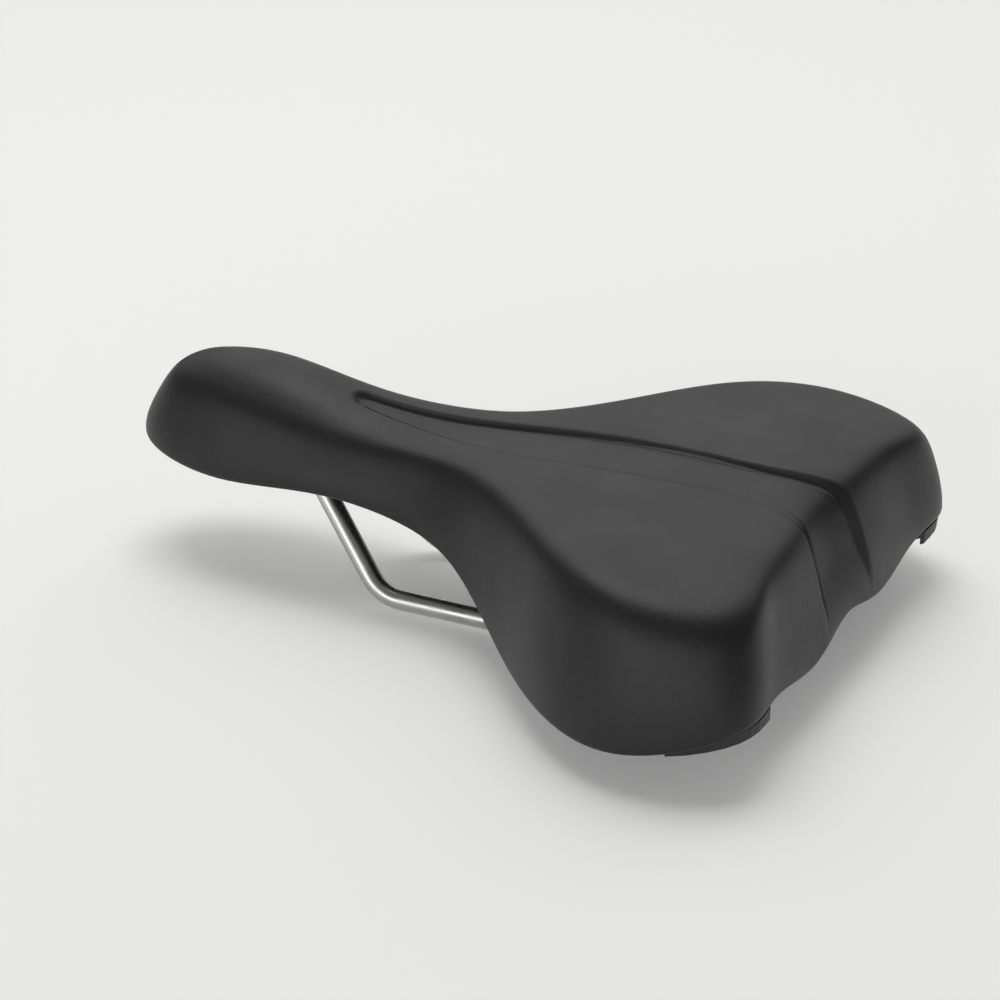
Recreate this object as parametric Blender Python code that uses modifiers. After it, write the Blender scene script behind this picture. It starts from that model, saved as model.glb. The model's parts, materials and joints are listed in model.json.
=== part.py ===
"""A padded bicycle saddle: cover, foam, moulded base, bent rail and its fittings.

Units are metres. +X points to the nose, +Y to the rider's left and +Z up. The
origin lies under the middle of the saddle's length, at the underside of the
rail, on the plane of symmetry.

The upper body is a fan of ribs. Each rib starts on the spine, the centre line of
the top, and runs outwards to the bottom edge of the skirt. The cover, the foam
and the base are sections drawn in the plane of each rib and lofted round the
half outline, and a Mirror modifier makes the other half.
"""

from math import cos, pi, radians, sin, tan

import bmesh
import bpy
import numpy as np
from mathutils import Matrix, Vector

MM = 0.001

# Driving dimensions of the upper body
REAR_REACH = 129.0 * MM
NOSE_REACH = 129.0 * MM
WING_HALF_WIDTH = 100.5 * MM
NOSE_HALF_WIDTH = 26.5 * MM
SEAT_HEIGHT = 60.0 * MM

CROWN_FULLNESS = 1.5 * MM

# Walls and clearances
CLEARANCE = 0.3 * MM
WELD = 0.01 * MM
COVER_WALL = 1.2 * MM
FOAM_SLACK = 0.6 * MM
FOAM_SEAT = 0.8 * MM
FOAM_SIDE = 3.0 * MM
FOAM_DEPTH_REAR = 22.0 * MM
FOAM_DEPTH_NOSE = 13.8 * MM
BASE_WALL = 2.5 * MM
BASE_CORNER_INSET = 6.0 * MM
RIM_LIFT = 0.8 * MM
HEM_HEIGHT = 8.5 * MM
HEM_RADIUS = 2.2 * MM

# Relief channel along the top
CHANNEL_DEPTH = 3.2 * MM
CHANNEL_FRONT_X = 49.0 * MM
CHANNEL_HALF_WIDTH = 13.0 * MM
CHANNEL_WALL = 7.0 * MM
CHANNEL_FADE = 0.5

# Rail: one bent rod, its closed end in the nose
RAIL_DIAMETER = 7.0 * MM
RAIL_SIDES = 12
RAIL_SPACING = 44.0 * MM
RAIL_CLAMP_FRONT_X = 29.0 * MM
RAIL_CLAMP_REAR_X = -58.0 * MM
RAIL_NOSE_INSET = 33.0 * MM
RAIL_NOSE_DROP = 16.5 * MM
RAIL_NOSE_MARGIN = 2.2 * MM
RAIL_KNEE_X = 58.0 * MM
RAIL_KNEE_SPREAD = 3.0 * MM
RAIL_KNEE_DROP = 22.5 * MM
RAIL_REAR_INSET = 22.0 * MM
RAIL_REAR_HALF_WIDTH = 44.0 * MM
RAIL_REAR_DROP = 32.0 * MM
RAIL_REAR_LENGTH = 30.0 * MM
RAIL_BEND = 16.0 * MM

# Fittings
BUSH_WALL = 1.8 * MM
BUSH_LENGTH = 20.0 * MM
BUSH_FLANGE = 1.8 * MM
SOCKET_WALL = 3.0 * MM
POCKET_LENGTH = 34.0 * MM
POCKET_FRONT_WALL = 3.0 * MM
POCKET_SIDE_WALL = 1.2 * MM
RETAINER_THICKNESS = 6.5 * MM
NOSE_SCREW_SPACING = 11.0 * MM
NOSE_SCREW_OFFSET = 10.0 * MM
SCREW_RADIUS = 1.6 * MM
SCREW_HEAD_RADIUS = 3.2 * MM
SCREW_HEAD_HEIGHT = 1.8 * MM
GUARD_SCREW_LENGTH = 9.0 * MM
NOSE_SCREW_LENGTH = 12.0 * MM
SCREW_HOLE_SPARE = 1.5 * MM
GUARD_HEIGHT = 4.5 * MM
GUARD_INSET = 0.8 * MM
GUARD_FADE = 4.0 * MM
GUARD_WALL = 2.2 * MM
GUARD_FLANGE = 23.5 * MM
GUARD_SEAT = 1.5 * MM
POST_RADIUS = 4.0 * MM
POST_INSET = 19.0 * MM
POST_GAP = 1.4 * MM
STAPLE_CROWN = 9.0 * MM
STAPLE_WIRE = 0.9 * MM
STAPLE_GAP = 0.35 * MM
STAPLE_BITE = 0.6 * MM
STAPLE_POINT = 0.7 * MM
STIFFENER_WALL = 2.0 * MM
SPAR_DEPTH = 6.0 * MM
CROSS_DEPTH = 4.0 * MM
SPAR_EMBED = 1.5 * MM
CROSS_EMBED = 0.8 * MM
BLOCK_EMBED = 1.2 * MM

# Mesh density
RIBS_PER_HALF = 26
TOP_STEPS = 13
BASE_STEPS = 9
HEM_STEPS = 4
GUARD_RIBS = 9

# The loft's stations from the rear centre round the left side to the nose tip.
# Lengths along X are shares of the rear or nose reach, and widths are shares of
# the wing's or the nose's half width. The rest is in millimetres: the crown's
# rise over SEAT_HEIGHT, the shoulder's inset from the edge, its drop below the
# crown, and the skirt's drop below the crown.
STATIONS = (
    # spine x, edge x, edge y, rise, inset, shoulder drop, skirt drop
    (-0.680, -0.985, 0.000, 1.0, 10.0, 6.0, 40.0),
    (-0.665, -0.990, 0.285, 1.1, 10.0, 5.1, 44.6),
    (-0.635, -0.990, 0.610, 1.4, 10.0, 5.4, 40.4),
    (-0.570, -0.975, 0.880, 1.9, 9.5, 6.4, 41.4),
    (-0.480, -0.725, 1.000, 2.1, 9.5, 3.1, 50.1),
    (-0.340, -0.465, 0.875, 1.6, 11.0, 0.1, 49.1),
    (-0.185, -0.250, 0.610, 0.5, 11.0, 1.0, 44.0),
    (-0.013, -0.060, 0.390, -0.5, 9.0, 2.5, 33.0),
    (0.172, 0.130, 1.080, 0.0, 6.0, 4.5, 26.5),
    (0.374, 0.398, 1.000, 4.0, 5.0, 8.0, 27.0),
    (0.560, 0.684, 0.980, 10.0, 6.0, 9.5, 35.0),
    (0.670, 0.918, 0.640, 11.0, 8.0, 9.0, 34.0),
    (0.715, 1.000, 0.000, 11.0, 11.0, 8.5, 27.5),
)
WING_STATIONS = 8

# Places along the outline, counted in stations or in strips between the loft's
# ribs, and places on the underside
GUARD_FIRST, GUARD_LAST = 2.25, 3.65
GUARD_SCREWS = (2.55, 3.2)
STAPLE_STRIPS = (1, 6, 8, 10, 13, 17, 21)
SPAR_REAR = (-0.70 * REAR_REACH, 24.0 * MM)
SPAR_FRONT = (0.28 * NOSE_REACH, 8.0 * MM)
CROSS_RIBS = ((-0.62, 0.56), (-0.42, 0.60), (-0.22, 0.29))


def clear_scene():
    """Remove what a new file starts with."""
    for thing in list(bpy.data.objects):
        bpy.data.objects.remove(thing, do_unlink=True)


def make_collection(name):
    """A new collection in the scene."""
    group = bpy.data.collections.new(name)
    bpy.context.scene.collection.children.link(group)
    return group


def make_material(name, colour, roughness, metallic=0.0):
    """A Principled material of one colour."""
    material = bpy.data.materials.new(name)
    material.use_nodes = True
    shader = material.node_tree.nodes["Principled BSDF"]
    shader.inputs["Base Color"].default_value = (*colour, 1.0)
    shader.inputs["Roughness"].default_value = roughness
    shader.inputs["Metallic"].default_value = metallic
    material.diffuse_color = (*colour, 1.0)
    return material


def new_object(name, mesh, group, material=None):
    """An object for a mesh, in a collection."""
    thing = bpy.data.objects.new(name, mesh)
    group.objects.link(thing)
    if material:
        mesh.materials.append(material)
    return thing


def as_cutter(thing):
    """Mark an object as a tool that cuts or joins another."""
    thing.hide_render = True
    thing.display_type = "WIRE"
    return thing


def add_boolean(target, tool, operation):
    """Cut or join one object with another. The exact solver leaves gaps where stiffeners cross."""
    step = target.modifiers.new(operation.lower() + "_" + tool.name, "BOOLEAN")
    step.operation = operation
    step.solver = "MANIFOLD"
    step.object = tool


# Stations and ribs


def station_table():
    """Stations in metres: spine x, edge x, edge y, edge z, inset, shoulder z, crown z."""
    table = []
    for number, row in enumerate(STATIONS):
        spine, edge, side, rise, inset, shoulder, skirt = row
        reach_spine = REAR_REACH if spine < 0 else NOSE_REACH
        reach_edge = REAR_REACH if edge < 0 else NOSE_REACH
        width = WING_HALF_WIDTH if number < WING_STATIONS else NOSE_HALF_WIDTH
        crown = SEAT_HEIGHT + rise * MM
        table.append(
            (
                spine * reach_spine,
                edge * reach_edge,
                side * width,
                crown - skirt * MM,
                inset * MM,
                crown - shoulder * MM,
                crown,
            )
        )
    return np.array(table)


def closed_spline(values):
    """Second derivatives of a cubic spline through a closed ring of values."""
    count = len(values)
    matrix = 4.0 * np.eye(count) + np.roll(np.eye(count), 1, 1) + np.roll(np.eye(count), -1, 1)
    bend = np.roll(values, 1, 0) - 2 * values + np.roll(values, -1, 0)
    return np.linalg.solve(matrix, 6.0 * bend)


def stations_at(places):
    """Smooth station values at places counted in stations from the rear centre."""
    half = station_table()
    mirrored = half[1:-1][::-1] * np.array([1, 1, -1, 1, 1, 1, 1])
    ring = np.vstack([half, mirrored])
    second = closed_spline(ring)
    start = np.floor(places).astype(int)
    share = (places - start)[:, None]
    first, last = start % len(ring), (start + 1) % len(ring)
    return (
        ring[first] * (1 - share)
        + ring[last] * share
        + ((1 - share) ** 3 - (1 - share)) * second[first] / 6
        + (share**3 - share) * second[last] / 6
    )


def bspline(control, steps):
    """Points on a clamped cubic B-spline through a polygon of control points."""
    degree = 3
    count = len(control)
    inner = np.linspace(0, 1, count - degree + 1)
    knots = np.concatenate([[0] * degree, inner, [1] * degree])
    places = np.clip(steps, 0, 1 - 1e-9)
    weight = np.array([(places >= knots[i]) & (places < knots[i + 1]) for i in range(len(knots) - 1)], float).T
    for order in range(1, degree + 1):
        for i in range(len(knots) - 1 - order):
            left = knots[i + order] - knots[i]
            right = knots[i + order + 1] - knots[i + 1]
            rising = (places - knots[i]) / left * weight[:, i] if left > 0 else 0
            falling = (knots[i + order + 1] - places) / right * weight[:, i + 1] if right > 0 else 0
            weight[:, i] = rising + falling
    return weight[:, :count] @ control


def offset(path, distance):
    """Move a path in a rib's plane to its left, by one distance or one for each point."""
    step = np.diff(path, axis=0)
    step /= np.linalg.norm(step, axis=1)[:, None]
    left = np.column_stack([-step[:, 1], step[:, 0]])
    before = np.vstack([left[:1], left])
    after = np.vstack([left, left[-1:]])
    middle = before + after
    middle /= np.linalg.norm(middle, axis=1)[:, None]
    widen = 1.0 / np.maximum(np.sum(middle * after, axis=1), 0.5)
    moved = path + middle * (distance * widen)[:, None]
    moved[0, 0] = path[0, 0]
    return moved


class Rib:
    """One rib: its plane, and the paths of each layer as (outward, up) points."""

    def __init__(self, values):
        self.spine_x, edge_x, edge_y, self.edge_z, inset, self.shoulder_z, self.crown_z = values
        run = np.array([edge_x - self.spine_x, edge_y])
        self.length = float(np.linalg.norm(run))
        self.heading = run / self.length
        self.inset = inset

    def place(self, path):
        """Rib points to world points."""
        outward = path[:, 0]
        x = self.spine_x + self.heading[0] * outward
        y = self.heading[1] * outward
        return np.column_stack([x, y, path[:, 1]])

    def top(self):
        """The cover's outside from the spine to the start of the hem's turn."""
        flat = self.length - self.inset
        fall = self.shoulder_z - self.edge_z
        crown = self.crown_z
        shoulder = self.shoulder_z
        control = np.array(
            [
                (0.0, crown),
                (0.40 * flat, crown),
                (0.78 * flat, shoulder + 0.35 * (crown - shoulder) + CROWN_FULLNESS),
                (flat, shoulder),
                (self.length - 0.42 * self.inset, self.edge_z + 0.60 * fall),
                (self.length, self.edge_z + 0.25 * fall),
                (self.length, self.edge_z + HEM_RADIUS),
            ]
        )
        return bspline(control, np.linspace(0, 1, TOP_STEPS))

    def relief(self, path):
        """Depth of the channel at each point of a path on the outside.

        It fades out over the lower part of the skirt, so the rim keeps its foam.
        """
        world = self.place(path)
        low = self.edge_z + HEM_RADIUS
        fade = smooth((path[:, 1] - low) / (CHANNEL_FADE * (self.crown_z - low)))
        return fade * channel_depth(world[:, 0], world[:, 1])

    def foam_depth(self):
        """Foam between the cover and the base at the spine."""
        share = (self.spine_x + REAR_REACH) / (REAR_REACH + NOSE_REACH)
        return FOAM_DEPTH_REAR + share * (FOAM_DEPTH_NOSE - FOAM_DEPTH_REAR)

    def base_top(self):
        """The base's outside, from the spine to the flange's bottom edge."""
        reach = self.length - COVER_WALL - FOAM_SLACK - FOAM_SIDE - CLEARANCE
        floor = self.crown_z - self.foam_depth()
        bottom = self.bottom()
        fall = floor - bottom
        flat = reach - BASE_CORNER_INSET
        control = np.array(
            [
                (0.0, floor),
                (0.40 * flat, floor),
                (0.78 * flat, floor),
                (flat, floor),
                (reach - 0.4 * BASE_CORNER_INSET, bottom + 0.65 * fall),
                (reach, bottom + 0.30 * fall),
                (reach, bottom),
            ]
        )
        fine = np.linspace(0, 1, 201)
        heights = bspline(control, fine)[:, 1] - bottom
        tuck = min(HEM_HEIGHT, 0.6 * fall)
        start = float(np.interp(-tuck, -heights, fine))
        steps = np.concatenate([np.linspace(0, start, BASE_STEPS)[:-1], np.linspace(start, 1, HEM_STEPS + 1)])
        return bspline(control, steps)

    def bottom(self):
        """Height of the bottom edge of the base and the foam, inside the hem."""
        return self.edge_z + COVER_WALL + RIM_LIFT

    def turn(self, radius):
        """The turn under the rim between the skirt and the tucked hem."""
        wrap = 2 * COVER_WALL + FOAM_SLACK + FOAM_SIDE + BASE_WALL + 2 * CLEARANCE
        level = self.edge_z + HEM_RADIUS
        outer_x = self.length - HEM_RADIUS
        inner_x = self.length - wrap + HEM_RADIUS
        first = [(outer_x + radius * cos(a), level - radius * sin(a)) for a in (pi / 6, pi / 3, pi / 2)]
        last = [(inner_x - radius * sin(a), level - radius * cos(a)) for a in (0, pi / 6, pi / 3)]
        return np.array(first + last)

    def tuck(self, wall):
        """The hem inside the flange, from the turn upwards, at a distance from the base's outside."""
        return offset(self.base_top(), -wall)[::-1][: HEM_STEPS + 1]

    def hem_edge(self):
        """World place of the hem's free edge."""
        return self.place(self.tuck(BASE_WALL + CLEARANCE + COVER_WALL))[-1]


def smooth(share):
    """An S-curve from 0 to 1 with level ends."""
    inside = np.clip(share, 0.0, 1.0)
    return inside * inside * (3 - 2 * inside)


def channel_half_width(x):
    """Half width of the relief channel: a rounded front end that opens to the rear."""
    span = CHANNEL_FRONT_X + REAR_REACH
    share = np.clip((CHANNEL_FRONT_X - x) / span, 0.0, 1.0)
    opening = np.sqrt(np.clip(share / 0.55, 0.0, 1.0))
    flare = 1.0 + 0.45 * np.clip((share - 0.80) / 0.20, 0.0, 1.0) ** 2
    return CHANNEL_HALF_WIDTH * opening * flare


def channel_depth(x, y):
    """Depth of the channel, full between its walls and zero outside them."""
    half = channel_half_width(x)
    wall = smooth((half + 0.5 * CHANNEL_WALL - np.abs(y)) / CHANNEL_WALL)
    start = smooth((CHANNEL_FRONT_X - x) / CHANNEL_WALL)
    return CHANNEL_DEPTH * wall * start


def all_ribs(first=0.0, last=None, count=RIBS_PER_HALF):
    """Ribs at even steps between two stations."""
    end = len(STATIONS) - 1 if last is None else last
    return [Rib(row) for row in stations_at(np.linspace(first, end, count))]


def loft(name, sections, group, material, fold=None, closed=False):
    """A skin through rows of points, one row a rib.

    A half section is mirrored to make the other half. Its quads are split along one
    diagonal up to the fold point and along the other after it, where the section runs
    back, so layers that share a path have matching facets and never cross. The strip at
    the nose tip turns its diagonals, so that no triangle lies on the plane of symmetry.
    A closed section is a ring of points with capped ends.
    """
    mesh = bpy.data.meshes.new(name)
    rows = np.array(sections)
    count, width = rows.shape[:2]
    number = np.arange(count * width).reshape(count, width)
    if closed:
        number = np.hstack([number, number[:, :1]])
    low, high = number[:-1], number[1:]
    corners = np.stack([low[:, :-1], high[:, :-1], high[:, 1:], low[:, 1:]], axis=-1)
    if closed:
        faces = corners.reshape(-1, 4).tolist()
        faces.append(number[0, :-1].tolist())
        faces.append(number[-1, :-1][::-1].tolist())
    else:
        along, across = [0, 1, 2, 0, 2, 3], [0, 1, 3, 1, 2, 3]
        parts = (
            corners[:-1, :fold].reshape(-1, 4)[:, along],
            corners[:-1, fold:].reshape(-1, 4)[:, across],
            corners[-1:, :fold].reshape(-1, 4)[:, across],
            corners[-1:, fold:].reshape(-1, 4)[:, along],
        )
        faces = np.vstack(parts).reshape(-1, 3).tolist()
    mesh.from_pydata(rows.reshape(-1, 3).tolist(), [], faces)
    if closed:
        work = bmesh.new()
        work.from_mesh(mesh)
        bmesh.ops.recalc_face_normals(work, faces=work.faces)
        work.to_mesh(mesh)
        work.free()
    thing = new_object(name, mesh, group, material)
    if not closed:
        half = thing.modifiers.new("left_and_right", "MIRROR")
        half.use_axis = (False, True, False)
        half.merge_threshold = WELD
    return thing


def flatten_middle(points):
    """Put points that belong on the plane of symmetry exactly there."""
    points = np.array(points)
    points[np.abs(points[:, 1]) < 1e-7, 1] = 0.0
    return points


def cover_section(rib):
    """Closed section of the cover from the spine round the hem and back."""
    outside = rib.top()
    skin = offset(outside, -rib.relief(outside))
    free = rib.tuck(BASE_WALL + CLEARANCE + COVER_WALL)
    seated = rib.tuck(BASE_WALL + CLEARANCE)
    path = np.vstack([skin, rib.turn(HEM_RADIUS), free])
    inside = np.vstack([offset(skin, -COVER_WALL), rib.turn(HEM_RADIUS - COVER_WALL), seated])
    return flatten_middle(rib.place(np.vstack([path, inside[::-1]])))


def foam_section(rib):
    """Closed section of the pad between the cover and the base."""
    outside = rib.top()
    skin = offset(outside, -rib.relief(outside))
    upper = offset(skin, -(COVER_WALL + FOAM_SLACK))
    lower = offset(rib.base_top(), FOAM_SEAT)
    upper[-1] = (upper[-1, 0], rib.bottom())
    lower[-1] = (lower[-1, 0], rib.bottom())
    return flatten_middle(rib.place(np.vstack([upper, lower[::-1]])))


def base_section(rib):
    """Closed section of the moulded base and its flange."""
    outside = rib.base_top()
    inside = offset(outside, -BASE_WALL)
    inside[-1] = (inside[-1, 0], outside[-1, 1])
    return flatten_middle(rib.place(np.vstack([outside, inside[::-1]])))


def underside_height(x, y):
    """Height of the base's underside at a place, from the rib that crosses it."""
    best = None
    for rib in all_ribs(count=97):
        path = rib.place(offset(rib.base_top(), -BASE_WALL))
        gap = np.hypot(path[:, 0] - x, path[:, 1] - abs(y))
        near = int(np.argmin(gap))
        if best is None or gap[near] < best[0]:
            best = (gap[near], path[near, 2])
    return best[1]


# Rail


def rounded_path(corners, radii, step=radians(15)):
    """A path through corner points with an arc of its own radius at each bend."""
    points = [Vector(corners[0])]
    for before, corner, after, radius in zip(corners, corners[1:], corners[2:], radii):
        back = (Vector(before) - Vector(corner)).normalized()
        ahead = (Vector(after) - Vector(corner)).normalized()
        turn = pi - back.angle(ahead)
        reach = radius * tan(turn / 2)
        start = Vector(corner) + back * reach
        centre = Vector(corner) + (back + ahead).normalized() * (radius / cos(turn / 2))
        first = (start - centre).normalized()
        axis = first.cross(-back).normalized()
        count = max(2, int(round(turn / step)))
        for i in range(count + 1):
            points.append(centre + Matrix.Rotation(turn * i / count, 3, axis) @ (first * radius))
    points.append(Vector(corners[-1]))
    return points


def rail_level():
    """Height of the rod's axis where a seatpost clamps it."""
    return 0.5 * RAIL_DIAMETER * cos(pi / RAIL_SIDES)


def rail_rear_end():
    """The left free end of the rod, and the way it points."""
    x = -REAR_REACH + RAIL_REAR_INSET
    end = Vector((x, RAIL_REAR_HALF_WIDTH, SEAT_HEIGHT - RAIL_REAR_DROP))
    heading = Vector((-1.0, 0.30, 0.0)).normalized()
    return end, heading


def rail_nose():
    """X, height and bend radius of the closed end, which fits between the hem's edges."""
    x = NOSE_REACH - RAIL_NOSE_INSET
    edges = np.array([rib.hem_edge() for rib in all_ribs(8, count=25)])
    front = x + RAIL_DIAMETER / 2 + POCKET_FRONT_WALL
    inner = float(np.interp(front, edges[:, 0], edges[:, 1]))
    bend = inner - RAIL_NOSE_MARGIN - RAIL_DIAMETER / 2
    return x, SEAT_HEIGHT - RAIL_NOSE_DROP, bend


def rail_path():
    """Centre line of the rod, from the left free end round the nose to the right."""
    nose_x, nose_z, bend = rail_nose()
    side = RAIL_SPACING / 2
    level = rail_level()
    end, heading = rail_rear_end()
    left = [
        end,
        end - heading * RAIL_REAR_LENGTH,
        Vector((RAIL_CLAMP_REAR_X, side, level)),
        Vector((RAIL_CLAMP_FRONT_X, side, level)),
        Vector((RAIL_KNEE_X, bend + RAIL_KNEE_SPREAD, SEAT_HEIGHT - RAIL_KNEE_DROP)),
        Vector((nose_x, bend, nose_z)),
    ]
    right = [Vector((p.x, -p.y, p.z)) for p in reversed(left)]
    bends = [RAIL_BEND] * 4 + [bend * 0.999]
    return rounded_path(left + right, bends + bends[::-1])


def tube(name, points, radius, group, material=None, sides=RAIL_SIDES):
    """A rod or a tunnel along a path, one flat of its section facing down."""
    curve = bpy.data.curves.new(name, "CURVE")
    curve.dimensions = "3D"
    curve.twist_mode = "Z_UP"
    curve.bevel_depth = radius
    curve.bevel_resolution = (sides - 4) // 2
    curve.use_fill_caps = True
    spline = curve.splines.new("POLY")
    spline.points.add(len(points) - 1)
    for point, place in zip(spline.points, points):
        point.co = (*place, 1.0)
        point.tilt = pi / sides
    thing = bpy.data.objects.new(name, curve)
    group.objects.link(thing)
    if material:
        curve.materials.append(material)
    return thing


def as_mesh(thing, group, material=None):
    """A curve object made a mesh, its caps welded."""
    graph = bpy.context.evaluated_depsgraph_get()
    mesh = bpy.data.meshes.new_from_object(thing.evaluated_get(graph))
    work = bmesh.new()
    work.from_mesh(mesh)
    bmesh.ops.remove_doubles(work, verts=work.verts, dist=0.001 * MM)
    work.to_mesh(mesh)
    work.free()
    name = thing.name
    place = thing.matrix_world.copy()
    bpy.data.objects.remove(thing, do_unlink=True)
    mesh.materials.clear()
    solid = new_object(name, mesh, group, material)
    solid.matrix_world = place
    return solid


# Turned and boxed pieces


def turned(name, profile, place, group, material=None, steps=12):
    """A profile of (radius, height) turned about an axis given by a matrix."""
    mesh = bpy.data.meshes.new(name)
    mesh.from_pydata([(r, 0.0, z) for r, z in profile], [(i, i + 1) for i in range(len(profile) - 1)], [])
    thing = new_object(name, mesh, group, material)
    thing.matrix_world = place
    screw = thing.modifiers.new("turned", "SCREW")
    screw.steps = steps
    screw.render_steps = steps
    screw.use_merge_vertices = True
    screw.merge_threshold = 0.001 * MM
    return thing


def cylinder_profile(radius, low, high):
    """Profile of a plain cylinder, down its outer side."""
    return [(0.0, high), (radius, high), (radius, low), (0.0, low)]


def axis_matrix(place, direction):
    """A frame whose Z runs along a direction."""
    turn = Vector(direction).to_track_quat("Z", "Y").to_matrix().to_4x4()
    return Matrix.Translation(place) @ turn


def box(name, size, place, group, material=None):
    """A box of a size, in a frame given by a matrix."""
    mesh = bpy.data.meshes.new(name)
    work = bmesh.new()
    bmesh.ops.create_cube(work, size=1.0)
    bmesh.ops.scale(work, vec=Vector(size), verts=work.verts)
    work.to_mesh(mesh)
    work.free()
    thing = new_object(name, mesh, group, material)
    thing.matrix_world = place
    return thing


def screw_profile(length):
    """A pan-head screw, its head's seat at height 0 and its shank above."""
    head = SCREW_HEAD_HEIGHT
    return [
        (0.0, length),
        (0.5 * SCREW_RADIUS, length),
        (SCREW_RADIUS, length - SCREW_RADIUS),
        (SCREW_RADIUS, 0.0),
        (SCREW_HEAD_RADIUS, 0.0),
        (SCREW_HEAD_RADIUS, -0.5 * head),
        (0.7 * SCREW_HEAD_RADIUS, -head),
        (0.0, -head),
    ]


def bush_profile():
    """A flanged sleeve, its mouth at height 0, its deep end above."""
    bore = RAIL_DIAMETER / 2 + CLEARANCE
    outer = bore + BUSH_WALL
    rim = outer + BUSH_WALL
    return [
        (bore, BUSH_LENGTH),
        (outer, BUSH_LENGTH),
        (outer, 0.0),
        (rim, 0.0),
        (rim, -BUSH_FLANGE),
        (bore, -BUSH_FLANGE),
        (bore, BUSH_LENGTH),
    ]


def hanging_block(name, places, width, embed, group, depth=None, low=None):
    """A block moulded below the base along a line of (x, y) places, rooted in its wall."""
    rows = []
    heading = Vector(places[-1]) - Vector(places[0])
    side = Vector((-heading.y, heading.x)).normalized() * width / 2
    for x, y in places:
        roof = underside_height(x, y)
        floor = roof - depth if low is None else low
        rows.append(
            [
                (x + side.x, y + side.y, roof + embed),
                (x - side.x, y - side.y, roof + embed),
                (x - side.x, y - side.y, floor),
                (x + side.x, y + side.y, floor),
            ]
        )
    return as_cutter(loft(name, rows, group, None, closed=True))


def line(start, end, count):
    """Even places on a straight line."""
    return [tuple(Vector(start).lerp(Vector(end), i / (count - 1))) for i in range(count)]


def stiffen_base(base, tools):
    """Two spars from the sockets towards the nose, and ribs across the wide rear."""
    for side, word in ((1, "left"), (-1, "right")):
        rear = (SPAR_REAR[0], side * SPAR_REAR[1])
        front = (SPAR_FRONT[0], side * SPAR_FRONT[1])
        route = line(rear, front, 12)
        spar = hanging_block("spar_" + word, route, STIFFENER_WALL, SPAR_EMBED, tools, depth=SPAR_DEPTH)
        add_boolean(base, spar, "UNION")
    for number, (along, across) in enumerate(CROSS_RIBS):
        x, y = along * REAR_REACH, across * WING_HALF_WIDTH
        route = line((x, -y), (x, y), 9)
        name = f"cross_rib_{number}"
        cross = hanging_block(name, route, STIFFENER_WALL, CROSS_EMBED, tools, depth=CROSS_DEPTH)
        add_boolean(base, cross, "UNION")


def add_nose_pocket(base, saddle, tools, plastic, zinc):
    """The block that the rod's closed end seats in, its retainer plate and screws."""
    x, z, bend = rail_nose()
    front = x + RAIL_DIAMETER / 2 + POCKET_FRONT_WALL
    middle = front - POCKET_LENGTH / 2
    width = 2 * (bend + RAIL_DIAMETER / 2 + POCKET_SIDE_WALL)
    route = line((front - POCKET_LENGTH, 0.0), (front, 0.0), 5)
    block = hanging_block("nose_pocket", route, width, BLOCK_EMBED, tools, low=z + CLEARANCE / 2)
    add_boolean(base, block, "UNION")
    plate_z = z - CLEARANCE / 2 - RETAINER_THICKNESS / 2
    plate_place = Matrix.Translation((middle, 0.0, plate_z))
    plate = box("nose_retainer", (POCKET_LENGTH, width, RETAINER_THICKNESS), plate_place, saddle, plastic)
    seat = z - CLEARANCE / 2 - RETAINER_THICKNESS - CLEARANCE
    for word, screw_x in (("front", x - NOSE_SCREW_OFFSET), ("rear", x - NOSE_SCREW_OFFSET - NOSE_SCREW_SPACING)):
        place = Matrix.Translation((screw_x, 0.0, seat))
        turned("nose_screw_" + word, screw_profile(NOSE_SCREW_LENGTH), place, saddle, zinc)
        hole = screw_hole("nose_screw_hole_" + word, NOSE_SCREW_LENGTH, place, tools)
        add_boolean(base, hole, "DIFFERENCE")
        add_boolean(plate, hole, "DIFFERENCE")
    return plate


def screw_hole(name, length, place, tools):
    """A tool for a screw's bore and the flat seat above its head."""
    bore = SCREW_RADIUS + CLEARANCE
    seat = SCREW_HEAD_RADIUS + CLEARANCE
    top = length + SCREW_HOLE_SPARE
    low = -2 * SCREW_HEAD_HEIGHT
    profile = [(0.0, top), (bore, top), (bore, CLEARANCE), (seat, CLEARANCE), (seat, low), (0.0, low)]
    return as_cutter(turned(name, profile, place, tools, steps=12))


def add_rear_socket(base, side, word, saddle, tools, nylon):
    """A block under the base with a blind bore, and the sleeve between it and the rod."""
    end, heading = rail_rear_end()
    end = Vector((end.x, side * end.y, end.z))
    heading = Vector((heading.x, side * heading.y, 0.0))
    bore = RAIL_DIAMETER / 2 + BUSH_WALL + 2 * CLEARANCE
    depth = BUSH_LENGTH + CLEARANCE
    mouth = end + heading * (CLEARANCE - BUSH_LENGTH)
    length = depth + SOCKET_WALL
    width = 2 * (bore + SOCKET_WALL)
    route = line(mouth.to_2d(), (mouth + heading * length).to_2d(), 4)
    low = end.z - width / 2
    block = hanging_block("rail_socket_" + word, route, width, BLOCK_EMBED, tools, low=low)
    add_boolean(base, block, "UNION")
    drill_place = axis_matrix(mouth, heading)
    drill = turned("rail_socket_bore_" + word, cylinder_profile(bore, -SOCKET_WALL, depth), drill_place, tools)
    add_boolean(base, as_cutter(drill), "DIFFERENCE")
    bush_place = axis_matrix(mouth - heading * CLEARANCE, heading)
    turned(word + "_rail_bush", bush_profile(), bush_place, saddle, nylon)


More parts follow.
